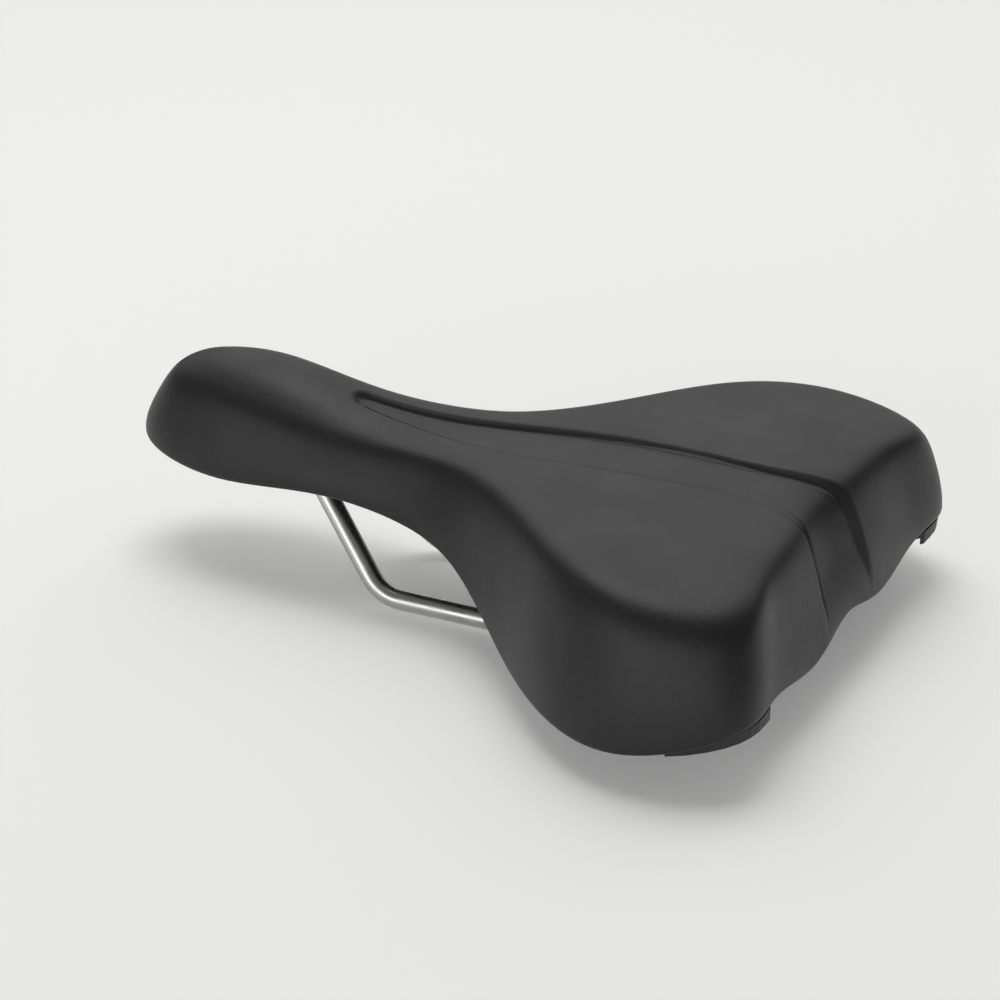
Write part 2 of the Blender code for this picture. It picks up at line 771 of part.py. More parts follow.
def guard_section(rib, share):
    """Angle section of a corner guard: a flange under the hem and a lip at the outside.

    Towards the front, where the share reaches 1, the lip gets lower and moves inwards.
    """
    top = rib.edge_z - CLEARANCE
    lip = GUARD_HEIGHT + 0.85 * share * (GUARD_WALL - GUARD_HEIGHT)
    outer = rib.length - GUARD_INSET - GUARD_FADE * share**2
    path = np.array(
        [
            (outer, top),
            (outer - 0.25 * GUARD_WALL, top - lip),
            (outer - GUARD_WALL, top - lip),
            (outer - GUARD_WALL, top - GUARD_WALL),
            (rib.length - GUARD_FLANGE, top - GUARD_WALL),
            (rib.length - GUARD_FLANGE, top),
        ]
    )
    return rib.place(path)


def add_guard(base, side, word, saddle, tools, plastic, zinc):
    """A rear corner guard, the two posts of the base that carry it and its screws."""
    ribs = all_ribs(GUARD_FIRST, GUARD_LAST, GUARD_RIBS)
    shares = np.linspace(0, 1, GUARD_RIBS)
    rows = [guard_section(rib, share) * np.array([1, side, 1]) for rib, share in zip(ribs, shares)]
    guard = loft(word + "_corner_guard", rows, saddle, plastic, closed=True)
    for name, station in zip(("inner", "outer"), GUARD_SCREWS):
        rib = all_ribs(station, station, 1)[0]
        x, y, _ = rib.place(np.array([(rib.length - POST_INSET, 0.0)]))[0]
        y = side * y
        flange_top = rib.edge_z - CLEARANCE
        low = flange_top + POST_GAP
        roof = underside_height(x, y) + BLOCK_EMBED
        post_place = Matrix.Translation((x, y, 0.0))
        post = turned(f"guard_post_{word}_{name}", cylinder_profile(POST_RADIUS, low, roof), post_place, tools)
        add_boolean(base, as_cutter(post), "UNION")
        place = Matrix.Translation((x, y, flange_top - GUARD_SEAT))
        turned(f"{word}_guard_screw_{name}", screw_profile(GUARD_SCREW_LENGTH), place, saddle, zinc)
        hole = screw_hole(f"guard_screw_hole_{word}_{name}", GUARD_SCREW_LENGTH, place, tools)
        add_boolean(base, hole, "DIFFERENCE")
        add_boolean(guard, hole, "DIFFERENCE")


def staple_place(ribs, strip, side):
    """Frame of a staple on the hem: X along the edge, Y up the hem and Z out through it."""
    row = HEM_STEPS // 2 - 1
    sheet = BASE_WALL + CLEARANCE + COVER_WALL
    patch = np.array([rib.place(rib.tuck(sheet))[row : row + 2] for rib in ribs[strip : strip + 2]])
    patch *= np.array([1, side, 1])
    run = Vector(patch[1].mean(axis=0) - patch[0].mean(axis=0))
    rise = Vector(patch[:, 1].mean(axis=0) - patch[:, 0].mean(axis=0))
    out = side * rise.cross(run).normalized()
    up = (rise - rise.dot(out) * out).normalized()
    frame = Matrix((up.cross(out), up, out)).transposed().to_4x4()
    return Matrix.Translation(patch.mean(axis=(0, 1))) @ frame


def staple_tip():
    """How far a staple's legs reach past the hem's face, into the base."""
    return COVER_WALL + CLEARANCE + STAPLE_BITE


def staple(name, place, saddle, zinc):
    """A wire bent into a U, its crown on the hem and its legs cut to points."""
    half = STAPLE_CROWN / 2
    inner = half - STAPLE_WIRE
    tip = staple_tip()
    outline = [
        (-half, -STAPLE_GAP - STAPLE_WIRE),
        (half, -STAPLE_GAP - STAPLE_WIRE),
        (half, tip),
        (inner, tip - STAPLE_POINT),
        (inner, -STAPLE_GAP),
        (-inner, -STAPLE_GAP),
        (-inner, tip - STAPLE_POINT),
        (-half, tip),
    ]
    rows = [[(x, y, z) for x, z in outline] for y in (-STAPLE_WIRE / 2, STAPLE_WIRE / 2)]
    loft(name, rows, saddle, zinc, closed=True).matrix_world = place


def add_staples(cover, base, ribs, saddle, tools, zinc):
    """The staples that hold the hem to the base, and one tool with the holes of all their legs."""
    width = STAPLE_WIRE + 2 * CLEARANCE
    low = -STAPLE_GAP - STAPLE_WIRE
    high = staple_tip() + CLEARANCE
    reach = (STAPLE_CROWN - STAPLE_WIRE) / 2
    work = bmesh.new()
    for side, word in ((1, "left"), (-1, "right")):
        for number, strip in enumerate(STAPLE_STRIPS, 1):
            place = staple_place(ribs, strip, side)
            staple(f"{word}_staple_{number}", place, saddle, zinc)
            for end in (-reach, reach):
                leg = Matrix.Translation((end, 0.0, (low + high) / 2)) @ Matrix.Diagonal((width, width, high - low, 1.0))
                bmesh.ops.create_cube(work, size=1.0, matrix=place @ leg)
    mesh = bpy.data.meshes.new("staple_holes")
    work.to_mesh(mesh)
    work.free()
    holes = as_cutter(new_object("staple_holes", mesh, tools))
    add_boolean(cover, holes, "DIFFERENCE")
    add_boolean(base, holes, "DIFFERENCE")


def build():
    """Make every piece of the saddle."""
    clear_scene()
    saddle = make_collection("bike_saddle")
    tools = make_collection("bike_saddle_tools")

    leather = make_material("synthetic_leather", (0.030, 0.030, 0.032), 0.45)
    foam = make_material("polyurethane_foam", (0.12, 0.12, 0.12), 0.95)
    plastic = make_material("moulded_polypropylene", (0.022, 0.022, 0.023), 0.55)
    steel = make_material("plated_steel", (0.55, 0.55, 0.56), 0.30, 1.0)
    zinc = make_material("zinc_plated_steel", (0.62, 0.62, 0.60), 0.35, 1.0)
    nylon = make_material("nylon", (0.05, 0.05, 0.05), 0.5)

    ribs = all_ribs()
    sheet = [cover_section(rib) for rib in ribs]
    cover = loft("cover", sheet, saddle, leather, fold=len(sheet[0]) // 2 + HEM_STEPS)
    loft("foam_pad", [foam_section(rib) for rib in ribs], saddle, foam, fold=TOP_STEPS)
    shell = [base_section(rib) for rib in ribs]
    base = loft("base_shell", shell, saddle, plastic, fold=len(shell[0]) // 2)

    stiffen_base(base, tools)
    plate = add_nose_pocket(base, saddle, tools, plastic, zinc)
    for side, word in ((1, "left"), (-1, "right")):
        add_rear_socket(base, side, word, saddle, tools, nylon)
        add_guard(base, side, word, saddle, tools, plastic, zinc)

    as_mesh(tube("rail", rail_path(), RAIL_DIAMETER / 2, tools), saddle, steel)
    groove = as_mesh(tube("rail_groove", rail_path(), RAIL_DIAMETER / 2 + CLEARANCE, tools), tools)
    add_boolean(base, as_cutter(groove), "DIFFERENCE")
    add_boolean(plate, groove, "DIFFERENCE")
    add_staples(cover, base, ribs, saddle, tools, zinc)


if __name__ == "__main__":
    build()
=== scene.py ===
# %% [markdown]
# # A padded bicycle saddle, dressed for its picture
#
# The CAD model already holds the saddle's pieces at their real size. This lesson gives them
# their finish: a fine leathercloth cover with its recessed channel and turned hem, a smooth
# bent rail, real screws and staples, and a soft studio. Every length below is in metres, and
# the frame is the CAD's own: +X to the nose, +Y to the rider's left and +Z up.

# %% Load the CAD model
import json
from math import cos, pi, radians, tan

import bmesh
import bpy
import numpy as np
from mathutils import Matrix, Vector


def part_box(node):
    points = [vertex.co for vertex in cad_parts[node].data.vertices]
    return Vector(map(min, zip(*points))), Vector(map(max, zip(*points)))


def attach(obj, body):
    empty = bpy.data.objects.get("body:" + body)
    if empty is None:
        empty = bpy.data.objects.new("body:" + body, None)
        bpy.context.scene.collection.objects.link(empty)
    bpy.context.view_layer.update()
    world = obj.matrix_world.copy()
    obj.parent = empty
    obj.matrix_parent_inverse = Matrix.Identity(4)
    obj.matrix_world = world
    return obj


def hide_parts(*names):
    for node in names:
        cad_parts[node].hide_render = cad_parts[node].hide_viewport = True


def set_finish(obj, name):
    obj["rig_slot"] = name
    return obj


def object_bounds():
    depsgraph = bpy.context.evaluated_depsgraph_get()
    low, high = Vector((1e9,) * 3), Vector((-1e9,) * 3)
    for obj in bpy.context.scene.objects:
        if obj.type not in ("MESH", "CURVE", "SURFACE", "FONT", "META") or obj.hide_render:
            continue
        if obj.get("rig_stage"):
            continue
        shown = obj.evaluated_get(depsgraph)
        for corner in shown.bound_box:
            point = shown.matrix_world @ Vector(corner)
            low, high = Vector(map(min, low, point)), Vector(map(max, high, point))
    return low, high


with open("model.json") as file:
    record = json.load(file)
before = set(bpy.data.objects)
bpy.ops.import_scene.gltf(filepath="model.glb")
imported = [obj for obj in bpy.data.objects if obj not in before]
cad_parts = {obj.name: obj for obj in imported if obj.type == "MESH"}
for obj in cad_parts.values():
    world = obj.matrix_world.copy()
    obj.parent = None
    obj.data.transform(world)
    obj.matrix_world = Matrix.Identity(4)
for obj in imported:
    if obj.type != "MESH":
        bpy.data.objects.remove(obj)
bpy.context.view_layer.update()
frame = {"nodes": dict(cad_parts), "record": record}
MM = 0.001
print("CAD nodes:", len(frame["nodes"]))

# %% [markdown]
# ## Small helpers
#
# A surface in this lesson is a function of two parameters, worked out for a whole grid of
# points at once. One helper turns such a grid into a mesh, one turns a paint colour into the
# linear light that the shader wants, and one adds a shader node. Points that lie closer than
# WELD are merged, which closes a surface where its rows meet.


# %% From a grid of points to a piece
WELD = 0.005 * MM


def grid_faces(rows, columns, close_rows=False, close_columns=False):
    """Quads between neighbours of a grid of points, numbered row by row."""
    number = np.arange(rows * columns).reshape(rows, columns)
    if close_rows:
        number = np.vstack([number, number[:1]])
    if close_columns:
        number = np.hstack([number, number[:, :1]])
    corners = (number[:-1, :-1], number[1:, :-1], number[1:, 1:], number[:-1, 1:])
    return np.stack(corners, axis=-1).reshape(-1, 4).tolist()


def add_object(name, data):
    """Put a mesh, a lamp or a camera into the scene."""
    thing = bpy.data.objects.new(name, data)
    bpy.context.scene.collection.objects.link(thing)
    return thing


def make_piece(name, points, faces, weld=0.0):
    """A smooth-shaded mesh object from points and faces, its doubles merged, facing outwards."""
    mesh = bpy.data.meshes.new(name)
    mesh.from_pydata(np.reshape(points, (-1, 3)).tolist(), [], faces)
    work = bmesh.new()
    work.from_mesh(mesh)
    if weld:
        bmesh.ops.remove_doubles(work, verts=work.verts, dist=weld)
        bmesh.ops.dissolve_degenerate(work, edges=work.edges, dist=weld)
    bmesh.ops.recalc_face_normals(work, faces=work.faces)
    work.to_mesh(mesh)
    work.free()
    mesh.shade_smooth()
    return add_object(name, mesh)


def fit_for(piece, node, slot):
    """Let a piece stand for a CAD node, carry the node's finish slot and ride with the part."""
    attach(piece, "root")
    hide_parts(node)
    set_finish(piece, slot)
    return piece


print("Faces of a closed ring of 8 rows by 4 points:", len(grid_faces(8, 4, close_rows=True)))


# %% From a paint colour to linear light
def linear(hex_colour):
    """An sRGB hex colour as linear red, green, blue and alpha."""
    parts = np.array([int(hex_colour[i : i + 2], 16) for i in (1, 3, 5)]) / 255
    light = np.where(parts <= 0.04045, parts / 12.92, ((parts + 0.055) / 1.055) ** 2.4)
    return (*light.tolist(), 1.0)


print("Mid grey in linear light:", round(linear("#808080")[0], 3))


# %% A shader node, and a material to start from
def add_node(tree, kind, inputs=(), **settings):
    """Add a shader node, set its properties, and fill or link its inputs."""
    node = tree.nodes.new(kind)
    for key, value in settings.items():
        setattr(node, key, value)
    for key, value in dict(inputs).items():
        if isinstance(value, bpy.types.NodeSocket):
            tree.links.new(value, node.inputs[key])
        else:
            node.inputs[key].default_value = value
    return node


def start_material(name, colour, roughness, metallic=0.0):
    """A material with one Principled shader. Gives the material, its tree and its shader."""
    material = bpy.data.materials.new(name)
    material.use_nodes = True
    tree = material.node_tree
    tree.nodes.clear()
    base = linear(colour)
    settings = {"Base Color": base, "Roughness": roughness, "Metallic": metallic}
    shader = add_node(tree, "ShaderNodeBsdfPrincipled", settings)
    add_node(tree, "ShaderNodeOutputMaterial", {"Surface": shader.outputs["BSDF"]})
    material.diffuse_color = base
    return material, tree, shader


# %% [markdown]
# ## The form: a fan of ribs
#
# A saddle's top is hard to draw as one curve swept along another, because its outline is wide
# and round at the back and narrow at the nose. Here ribs start on the spine, the centre line
# of the top, and fan out to the bottom edge of the skirt all the way round. Thirteen stations
# give the rib's place and shape from the rear centre to the nose tip on the left side, a
# periodic cubic spline blends them, and the right side is their mirror image.

# %% Driving dimensions and stations
REAR_REACH = 129.0 * MM
NOSE_REACH = 129.0 * MM
WING_HALF_WIDTH = 100.5 * MM
NOSE_HALF_WIDTH = 26.5 * MM
SEAT_HEIGHT = 60.0 * MM
CLEARANCE = 0.3 * MM
COVER_WALL = 1.2 * MM
FOAM_SLACK = 0.6 * MM
FOAM_SEAT = 0.8 * MM
FOAM_SIDE = 3.0 * MM
FOAM_DEPTH_REAR = 22.0 * MM
FOAM_DEPTH_NOSE = 13.8 * MM
BASE_WALL = 2.5 * MM
BASE_CORNER_INSET = 6.0 * MM
RIM_LIFT = 0.8 * MM
HEM_HEIGHT = 8.5 * MM
HEM_RADIUS = 2.2 * MM
CROWN_FULLNESS = 1.5 * MM

# Lengths along X are shares of the rear or nose reach, widths are shares of the wing's or
# the nose's half width, and the last four columns are millimetres.
STATIONS = (
    # spine x, edge x, edge y, rise, inset, shoulder drop, skirt drop
    (-0.680, -0.985, 0.000, 1.0, 10.0, 6.0, 40.0),
    (-0.665, -0.990, 0.285, 1.1, 10.0, 5.1, 44.6),
    (-0.635, -0.990, 0.610, 1.4, 10.0, 5.4, 40.4),
    (-0.570, -0.975, 0.880, 1.9, 9.5, 6.4, 41.4),
    (-0.480, -0.725, 1.000, 2.1, 9.5, 3.1, 50.1),
    (-0.340, -0.465, 0.875, 1.6, 11.0, 0.1, 49.1),
    (-0.185, -0.250, 0.610, 0.5, 11.0, 1.0, 44.0),
    (-0.013, -0.060, 0.390, -0.5, 9.0, 2.5, 33.0),
    (0.172, 0.130, 1.080, 0.0, 6.0, 4.5, 26.5),
    (0.374, 0.398, 1.000, 4.0, 5.0, 8.0, 27.0),
    (0.560, 0.684, 0.980, 10.0, 6.0, 9.5, 35.0),
    (0.670, 0.918, 0.640, 11.0, 8.0, 9.0, 34.0),
    (0.715, 1.000, 0.000, 11.0, 10.5, 8.5, 32.5),
)
WING_STATIONS = 8
RING = 2 * (len(STATIONS) - 1)


def station_table():
    """Stations in metres: spine x, edge x, edge y, edge z, inset, shoulder z, crown z."""
    spine, edge, side, rise, inset, shoulder, skirt = np.array(STATIONS).T
    wide = np.arange(len(STATIONS)) < WING_STATIONS
    crown = SEAT_HEIGHT + rise * MM
    columns = (
        spine * np.where(spine < 0, REAR_REACH, NOSE_REACH),
        edge * np.where(edge < 0, REAR_REACH, NOSE_REACH),
        side * np.where(wide, WING_HALF_WIDTH, NOSE_HALF_WIDTH),
        crown - skirt * MM,
        inset * MM,
        crown - shoulder * MM,
        crown,
    )
    return np.stack(columns, axis=1)


def stations_at(places):
    """Station values anywhere on the ring, by a periodic cubic spline through all stations.

    Between two neighbours the value is their blend plus the cubic terms that make the
    slope and the curvature continuous.
    """
    half = station_table()
    mirrored = half[1:-1][::-1] * np.array([1, 1, -1, 1, 1, 1, 1])
    ring = np.vstack([half, mirrored])
    count = len(ring)
    matrix = 4 * np.eye(count) + np.roll(np.eye(count), 1, 1) + np.roll(np.eye(count), -1, 1)
    bend = np.roll(ring, 1, 0) - 2 * ring + np.roll(ring, -1, 0)
    second = np.linalg.solve(matrix, 6 * bend)
    start = np.floor(places).astype(int)
    share = (places - start)[:, None]
    first, last = start % count, (start + 1) % count
    straight = ring[first] * (1 - share) + ring[last] * share
    curved = ((1 - share) ** 3 - (1 - share)) * second[first] + (share**3 - share) * second[last]
    return straight + curved / 6


print("Stations round the ring:", RING)


# %% The ribs' paths
BEFORE_LAST_KNOT = 1 - 1e-9
FINE_STEPS = 401
INNER_STEPS = 24
HEM_SHARE = 0.6


def bspline_weights(count, steps):
    """How much each of count control points pulls at each step of a clamped cubic B-spline.

    A weight starts as 1 on its own stretch between two knots and 0 elsewhere. Three times
    over, it becomes its share of the way in from its first knot times itself, plus the share
    of the way left to its last knot times its neighbour.
    """
    inner = np.linspace(0, 1, count - 2)
    knots = np.concatenate([[0, 0, 0], inner, [1, 1, 1]])
    places = np.clip(steps, 0, BEFORE_LAST_KNOT)[..., None]
    weight = ((places >= knots[:-1]) & (places < knots[1:])).astype(float)
    for order in (1, 2, 3):
        last = weight.shape[-1] - 1
        first_knot, last_knot = knots[:last], knots[order + 1 : order + 1 + last]
        left = knots[order : order + last] - first_knot
        right = last_knot - knots[1 : 1 + last]
        rise = (places - first_knot) / np.where(left > 0, left, 1)
        fall = (last_knot - places) / np.where(right > 0, right, 1)
        weight = rise * (left > 0) * weight[..., :-1] + fall * (right > 0) * weight[..., 1:]
    return weight


def offset(path, distance):
    """Move paths in their ribs' planes to their left, by one distance or one for each point.

    Each point moves along the mean of its neighbours' normals, over the cosine of half the
    bend there, so the wall stays even. It moves twice the distance at most.
    """
    step = np.diff(path, axis=1)
    step /= np.linalg.norm(step, axis=2, keepdims=True)
    left = np.stack([-step[..., 1], step[..., 0]], axis=-1)
    before = np.concatenate([left[:, :1], left], axis=1)
    after = np.concatenate([left, left[:, -1:]], axis=1)
    middle = before + after
    middle /= np.linalg.norm(middle, axis=2, keepdims=True)
    widen = 1 / np.maximum(np.sum(middle * after, axis=2, keepdims=True), 0.5)
    moved = path + middle * widen * np.broadcast_to(distance, path.shape[:2])[..., None]
    moved[:, 0, 0] = path[:, 0, 0]
    return moved


class Ribs:
    """All ribs at some places of the ring, and the paths of each layer as (outward, up) points."""

    def __init__(self, places):
        values = stations_at(np.asarray(places, float)).T
        self.spine_x, edge_x, edge_y, self.edge_z, self.inset, self.shoulder_z, self.crown_z = values
        run = np.stack([edge_x - self.spine_x, edge_y], axis=1)
        self.length = np.linalg.norm(run, axis=1)
        self.heading = run / self.length[:, None]

    def place(self, path):
        """Rib points to world points: out along the rib's heading, up along Z."""
        outward = path[..., 0]
        x = self.spine_x[:, None] + self.heading[:, :1] * outward
        y = self.heading[:, 1:] * outward
        return np.stack([x, y, path[..., 1]], axis=-1)

    def top(self, steps):
        """The outside from the spine to the hem, at steps for all ribs or a row for each.

        It is a B-spline over seven control points: three on the flat top, one at the
        shoulder and three down the skirt, at shares of the top, the inset and the fall.
        """
        length, crown, shoulder, edge = self.length, self.crown_z, self.shoulder_z, self.edge_z
        flat = length - self.inset
        fall = shoulder - edge
        control = np.array(
            [
                (0 * length, crown),
                (0.40 * flat, crown),
                (0.78 * flat, shoulder + 0.35 * (crown - shoulder) + CROWN_FULLNESS),
                (flat, shoulder),
                (length - 0.42 * self.inset, edge + 0.60 * fall),
                (length, edge + 0.25 * fall),
                (length, edge + HEM_RADIUS),
            ]
        ).transpose(2, 0, 1)
        return np.matmul(bspline_weights(7, steps), control)

    def base_control(self):
        """Control points of the moulded base's outside, from the spine to the rim."""
        reach = self.length - COVER_WALL - FOAM_SLACK - FOAM_SIDE - CLEARANCE
        share = (self.spine_x + REAR_REACH) / (REAR_REACH + NOSE_REACH)
        floor = self.crown_z - FOAM_DEPTH_REAR - share * (FOAM_DEPTH_NOSE - FOAM_DEPTH_REAR)
        fall = floor - self.bottom()
        flat = reach - BASE_CORNER_INSET
        return np.array(
            [
                (0 * reach, floor),
                (0.40 * flat, floor),
                (0.78 * flat, floor),
                (flat, floor),
                (reach - 0.4 * BASE_CORNER_INSET, self.bottom() + 0.65 * fall),
                (reach, self.bottom() + 0.30 * fall),
                (reach, self.bottom()),
            ]
        ).transpose(2, 0, 1)

    def bottom(self):
        """Height of the base's and the foam's bottom edge, inside the hem."""
        return self.edge_z + COVER_WALL + RIM_LIFT

    def base_top(self, inner_steps, rim_steps):
        """The base's outside, its last rim_steps spread over the height that the hem covers.

        The hem is HEM_HEIGHT high, or a share of the base's height where the base is low.
        """
        control = self.base_control()
        fine = np.linspace(0, 1, FINE_STEPS)
        height = (bspline_weights(7, fine) @ control)[..., 1] - self.bottom()[:, None]
        tuck = np.minimum(HEM_HEIGHT, HEM_SHARE * height[:, 0])
        start = fine[np.argmax(height < tuck[:, None], axis=1)]
        inner = start[:, None] * np.linspace(0, 1, inner_steps)[None, :-1]
        rim = start[:, None] + (1 - start[:, None]) * np.linspace(0, 1, rim_steps + 1)
        steps = np.concatenate([inner, rim], axis=1)
        return np.matmul(bspline_weights(7, steps), control)

    def turn(self, radius, steps):
        """The turn under the rim: a quarter circle down from the skirt and one up to the hem."""
        wrap = 2 * COVER_WALL + FOAM_SLACK + FOAM_SIDE + BASE_WALL + 2 * CLEARANCE
        level = (self.edge_z + HEM_RADIUS)[:, None]
        outer_x = (self.length - HEM_RADIUS)[:, None]
        inner_x = (self.length - wrap + HEM_RADIUS)[:, None]
        down = np.linspace(0, pi / 2, steps + 1)[1:]
        up = np.linspace(0, pi / 2, steps + 1)[:-1]
        first = np.stack([outer_x + radius * np.cos(down), level - radius * np.sin(down)], axis=-1)
        last = np.stack([inner_x - radius * np.sin(up), level - radius * np.cos(up)], axis=-1)
        return np.concatenate([first, last], axis=1)

    def tuck(self, wall, steps):
        """The hem inside the base's rim, from the turn upwards, a wall away from its outside."""
        return offset(self.base_top(INNER_STEPS, steps), -wall)[:, ::-1][:, : steps + 1]


sample = Ribs([0, 4, 8, 12])
print("Rib lengths in mm:", (sample.length / MM).round(1))

# %% [markdown]
# ## The recess
#
# A comfort saddle has a shallow recess along its top, with a rounded front end, that opens
# between two lobes at the back. It is pressed into the foam by a plate in the mould, so its
# walls are short S-curves. Its half width is a smooth curve through a few measured places,
# the depth falls to nothing across each wall, and it fades out down the rear of the skirt. The
# edge of the plate leaves a fine crease at the foot of the wall, the thin dark line on top.

# %% The recess
CHANNEL_DEPTH = 1.7 * MM
CHANNEL_WALL = 2.8 * MM
CHANNEL_FRONT_X = 49.0 * MM
CHANNEL_FADE = 0.5
CREASE_DEPTH = 0.60 * MM
CREASE_REACH = 1.1 * MM
CHANNEL_BLUR = 8.0 * MM
CHANNEL_PLACES = (
    # x, half width, in millimetres
    (-132.0, 21.0),
    (-118.0, 16.8),
    (-104.0, 13.4),
    (-88.0, 12.0),
    (-70.0, 12.2),
    (-42.0, 12.9),
    (-20.0, 12.2),
    (0.0, 10.2),
    (25.0, 6.6),
    (44.0, 4.6),
    (60.0, 3.0),
)


def smooth(share):
    """An S-curve from 0 to 1 with level ends: three squares of the share minus two cubes."""
    share = np.clip(share, 0, 1)
    return share * share * (3 - 2 * share)


def channel_half_width(x):
    """Half width of the recess: the mean of its places over a blur's length either way."""
    places, widths = np.array(CHANNEL_PLACES).T * MM
    shifts = np.linspace(-CHANNEL_BLUR, CHANNEL_BLUR, 9)
    return np.mean([np.interp(x + shift, places, widths) for shift in shifts], axis=0)


def inside_recess(x, y):
    """Distance inwards from the middle of the recess's wall, negative outside it.

    The front end is a half circle, so the distance is measured from its centre there.
    """
    centre = CHANNEL_FRONT_X - channel_half_width(np.array(CHANNEL_FRONT_X))
    ahead = np.maximum(x - centre, 0)
    return channel_half_width(x) - np.hypot(ahead, np.abs(y))


def channel_depth(x, y):
    """Depth of the recess: full inside, an S-curve across the walls, nothing outside.

    The plate's edge bites a fine crease along the foot of the wall, a bump of depth there.
    """
    inside = inside_recess(x, y)
    crease = smooth(1 - np.abs(inside - 0.5 * CHANNEL_WALL) / CREASE_REACH)
    return CHANNEL_DEPTH * smooth(0.5 + inside / CHANNEL_WALL) + CREASE_DEPTH * crease


print("Half width of the recess at the seat in mm:", (channel_half_width(-70 * MM) / MM).round(1))


# %% [markdown]
# ## The cover
#
# The cover is one sheet of coated knit that is drawn over the foam in the mould, turned round
# the rim of the base and stapled inside. A cloth simulation would only soften this tight
# skin, so the sheet is worked out directly: the outside path of every rib, the turn round the
# rim, the hem up the inside, and the same way back one sheet's thickness inside it.

# %% Work out the cover
COVER_RIBS = 336
TOP_STEPS = 112
RING_SAMPLES = 2401
RIB_SAMPLES = 501
REAR_PLACES = 1.9
REAR_BLEND = 0.5
REAR_CROWDING = 2.0
FRONT_PLACE = 9.0
FRONT_BLEND = 0.8
FRONT_CROWDING = 1.5
SHOULDER_CROWDING = 0.5
WALL_CROWDING = 6.0
WALL_MIDDLE = 0.2
WALL_SPREAD = 0.5
TURN_STEPS = 6
HEM_STEPS = 12
PUCKER_LENGTH = 7.0 * MM
PUCKER_HEIGHT = 0.55 * MM
PUCKER_LEAST = 0.15
TIGHT_RADIUS = 40.0 * MM


def crowded(fine, density, count):
    """Places spread over a fine row, closer together where the density is high.

    The running sum of the density is cut into even parts, and each part's start is read back.
    """
    run = np.concatenate([[0], np.cumsum(0.5 * (density[1:] + density[:-1]))])
    return np.interp(np.linspace(0, run[-1], count), run, fine)


def ring_places(count):
    """The ribs' places round the ring, closer along the recess's rear and at its front.

    The density is 1, plus an S-curve near the rear centre and an S-shaped bump ahead.
    """
    fine = np.linspace(0, RING, RING_SAMPLES)
    from_rear = np.minimum(fine, RING - fine)
    density = 1 + REAR_CROWDING * smooth((REAR_PLACES - from_rear) / REAR_BLEND)
    density += FRONT_CROWDING * smooth(1 - np.abs(from_rear - FRONT_PLACE) / FRONT_BLEND)
    return crowded(fine, density, count + 1)[:-1]


def top_steps(ribs, count):
    """Each rib's steps, closer together over its shoulder, and closest on the recess's wall.

    The density is 1, plus a squared sine over the rib and a bell curve across the wall.
    Ahead of the recess the wall's line is carried on, so neighbouring ribs keep like steps.
    """
    fine = np.linspace(0, 1, RIB_SAMPLES)
    world = ribs.place(ribs.top(fine))
    from_wall = (channel_half_width(world[..., 0]) - np.abs(world[..., 1])) / CHANNEL_WALL
    density = 1 + SHOULDER_CROWDING * np.sin(pi * fine) ** 2
    density = density + WALL_CROWDING * np.exp(-((from_wall - WALL_MIDDLE) ** 2) / WALL_SPREAD)
    return np.stack([crowded(fine, row, count) for row in density])


def pressed(ribs, path):
    """The outside path with the recess pressed in, less and less towards the skirt's foot."""
    world = ribs.place(path)
    low = (ribs.edge_z + HEM_RADIUS)[:, None]
    fade = smooth((path[..., 1] - low) / (CHANNEL_FADE * (ribs.crown_z[:, None] - low)))
    return offset(path, -fade * channel_depth(world[..., 0], world[..., 1]))


def edge_run(ribs):
    """Distance along the bottom edge to each rib, all the way round."""
    edge = ribs.place(np.stack([ribs.length, ribs.edge_z], axis=1)[:, None])[:, 0]
    steps = np.linalg.norm(np.roll(edge, -1, 0) - edge, axis=1)
    return np.concatenate([[0], np.cumsum(steps)[:-1]]), steps.sum()


def hem_pucker(ribs):
    """Height of the small pleats in the hem, strongest where the outline turns tightly.

    A sheet that is folded inwards round a convex corner has material to spare, and it
    gathers between the staples. The pleats are a raised cosine along the edge, squared to
    sharpen them, times the tight radius over the radius at which the rib's heading turns.
    """
    run, total = edge_run(ribs)
    heading = np.unwrap(np.arctan2(ribs.heading[:, 1], ribs.heading[:, 0]))
    turning = np.abs(np.gradient(heading, run))
    strength = np.clip(turning * TIGHT_RADIUS, PUCKER_LEAST, 1.0)
    waves = round(total / PUCKER_LENGTH)
    wave = 0.5 + 0.5 * np.cos(2 * pi * waves * run / total)
    return PUCKER_HEIGHT * strength * wave**2


def cover_surface():
    """Points of the closed cover, one ring of ribs by one loop round the sheet."""
    ribs = Ribs(ring_places(COVER_RIBS))
    outside = pressed(ribs, ribs.top(top_steps(ribs, TOP_STEPS)))
    inside = offset(outside, -COVER_WALL)
    free = ribs.tuck(BASE_WALL + CLEARANCE + COVER_WALL, HEM_STEPS)
    seated = ribs.tuck(BASE_WALL + CLEARANCE, HEM_STEPS)
    rise = smooth(np.linspace(0, 1, HEM_STEPS + 1))
    free = free - np.array([1, 0]) * (hem_pucker(ribs)[:, None] * rise)[..., None]
    there = np.concatenate([outside, ribs.turn(HEM_RADIUS, TURN_STEPS), free], axis=1)
    back = np.concatenate([inside, ribs.turn(HEM_RADIUS - COVER_WALL, TURN_STEPS), seated], axis=1)
    return ribs.place(np.concatenate([there, back[:, ::-1]], axis=1))


points = cover_surface()
faces = grid_faces(*points.shape[:2], close_rows=True)
cover = make_piece("saddle_cover", points, faces, weld=WELD)
fit_for(cover, "cover", "synthetic_leather")
print("Cover faces:", len(cover.data.polygons))

# %% [markdown]
# ## The foam
#
# Self-skinned polyurethane foam fills the space between the cover and the base. It can't be
# seen once the hem is stapled, but it has its own true surface, so the model can be opened.


# %% Work out the foam
FOAM_BASE_STEPS = 20
FOAM_RIM_STEPS = 6


